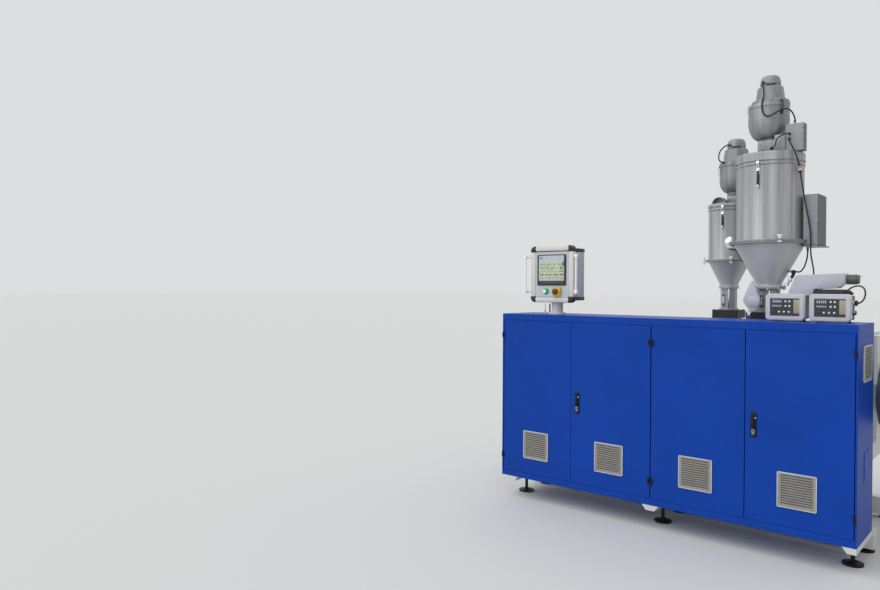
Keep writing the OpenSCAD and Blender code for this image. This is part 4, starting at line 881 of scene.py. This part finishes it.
cable("cap_cable", [
    (-772, 766, 3172), (-771, 752, 3171), (-766, 740, 3150), (-759, 736, 3110), (-756, 731, 3065),
    (-758, 711, 3030), (-761, 704, 2995), (-757, 703, 2955), (-745, 704, 2925), (-722, 704, 2909),
    (-695, 704, 2912), (-662, 705, 2927), (-627, 708, 2942), (-598, 718, 2945), (-576, 738, 2932),
    (-564, 766, 2905), (-560, 783, 2882), (-560, 785, 2864)], 5, rubber)
cable("sensor_cable", [
    (-704, 738, 2682), (-704, 726, 2682), (-696, 712, 2681), (-678, 705, 2684), (-666, 704, 2697),
    (-664, 705, 2714), (-660, 706, 2731), (-646, 707, 2747), (-624, 708, 2759), (-602, 708, 2767),
    (-588, 712, 2769), (-583, 722, 2769), (-583, 733, 2769)], 4.5, rubber)
cable("drop_cable", [
    (-583, 733, 2733), (-583, 718, 2732), (-576, 706, 2716), (-558, 700, 2680), (-541, 702, 2643),
    (-528, 712, 2600), (-519, 726, 2560), (-515, 742, 2520), (-510, 752, 2470), (-504, 758, 2420),
    (-497, 763, 2367), (-488, 768, 2310), (-481, 771, 2265), (-474, 773, 2225), (-467, 775, 2184),
    (-459, 778, 2130), (-453, 780, 2085), (-450, 780, 2030), (-449, 781, 1976), (-451, 794, 1925),
    (-456, 850, 1867), (-460, 902, 1822), (-462, 927, 1775), (-453, 933, 1730), (-430, 935, 1690),
    (-405, 935, 1656), (-384, 929, 1631), (-371, 917, 1620), (-370, 902, 1620)], 5, rubber)
cable("heater_cable", [
    (-485, 850, 1955), (-485, 850, 1938), (-487, 847, 1900), (-494, 842, 1862), (-506, 838, 1826),
    (-522, 838, 1803), (-540, 842, 1794), (-558, 848, 1797), (-571, 850, 1800), (-585, 850, 1800)],
    5, rubber)
cable("controller_cable", [
    (-69, 295, 1587), (-54, 295, 1588), (-36, 300, 1604), (-28, 318, 1632), (-36, 360, 1662),
    (-60, 430, 1684), (-100, 520, 1694), (-150, 610, 1688), (-196, 676, 1666), (-238, 714, 1640),
    (-275, 724, 1621), (-301, 739, 1611), (-313, 761, 1608), (-314, 780, 1608)], 5, rubber)
cable("panel_cable", [
    (-2191, 165, 1546), (-2191.5, 165.8, 1536), (-2196, 172, 1516), (-2202, 183, 1495),
    (-2202.9, 185.7, 1483), (-2203, 186, 1477)], 5.5, rubber)
cable("panel_lead", [
    (-2229, 160, 1546), (-2229, 160, 1536), (-2232, 161, 1515), (-2233, 162, 1496)], 2.5, cream_vinyl)
cable("loader_cable", [
    (-1130, 1116, 2815), (-1131, 1100, 2815), (-1142, 1080, 2808), (-1160, 1066, 2792), (-1178, 1056, 2768),
    (-1188, 1050, 2738), (-1188, 1045, 2710), (-1180, 1041, 2688), (-1169, 1046, 2677), (-1164, 1058, 2676),
    (-1164, 1074, 2676)], 5, rubber)


# Pale studio: floor, world and soft lamps

def set_studio():
    scene = bpy.context.scene
    scene.view_settings.view_transform = "Standard"
    world = bpy.data.worlds.new("studio")
    scene.world = world
    world.use_nodes = True
    tree = world.node_tree
    tree.nodes.clear()
    rays = add(tree, "ShaderNodeLightPath")
    seen = add(tree, "ShaderNodeMath", {0: (rays, "Is Camera Ray"), 1: (rays, "Is Glossy Ray")},
               operation="MAXIMUM")
    shown = add(tree, "ShaderNodeMath", {0: (seen, "Value"), 1: (rays, "Is Transmission Ray")},
                operation="MAXIMUM")
    soft = add(tree, "ShaderNodeBackground", None, {"Color": linear("FFFFFF"), "Strength": 0.5})
    pale = add(tree, "ShaderNodeBackground", None, {"Color": linear("DCDEDF"), "Strength": 1.0})
    both = add(tree, "ShaderNodeMixShader",
               {0: (shown, "Value"), 1: (soft, "Background"), 2: (pale, "Background")})
    add(tree, "ShaderNodeOutputWorld", {"Surface": (both, "Shader")})

    mesh = bpy.data.meshes.new("floor")
    shape = bmesh.new()
    bmesh.ops.create_grid(shape, x_segments=1, y_segments=1, size=150)
    shape.to_mesh(mesh)
    shape.free()
    floor = bpy.data.objects.new("floor", mesh)
    scene.collection.objects.link(floor)
    material = bpy.data.materials.new("pale_floor")
    material.use_nodes = True
    shader = material.node_tree.nodes["Principled BSDF"]
    shader.inputs["Base Color"].default_value = linear("D5D6D6")
    shader.inputs["Roughness"].default_value = 0.8
    mesh.materials.append(material)

    # Wide soft lamps at a great distance, so that the floor is lit evenly
    for name, side, height, power, width in (("key", -128, 42, 1.2, 70), ("fill", -80, 38, 0.55, 90),
                                             ("back", 100, 55, 0.5, 90)):
        data = bpy.data.lights.new(name, "SUN")
        data.energy = power
        data.angle = math.radians(width)
        lamp = bpy.data.objects.new(name, data)
        scene.collection.objects.link(lamp)
        turn = math.radians(side)
        lamp.location = Vector((math.cos(turn), math.sin(turn), math.tan(math.radians(height)))) * 6
        lamp.rotation_euler = (-lamp.location).to_track_quat("-Z", "Y").to_euler()


set_studio()
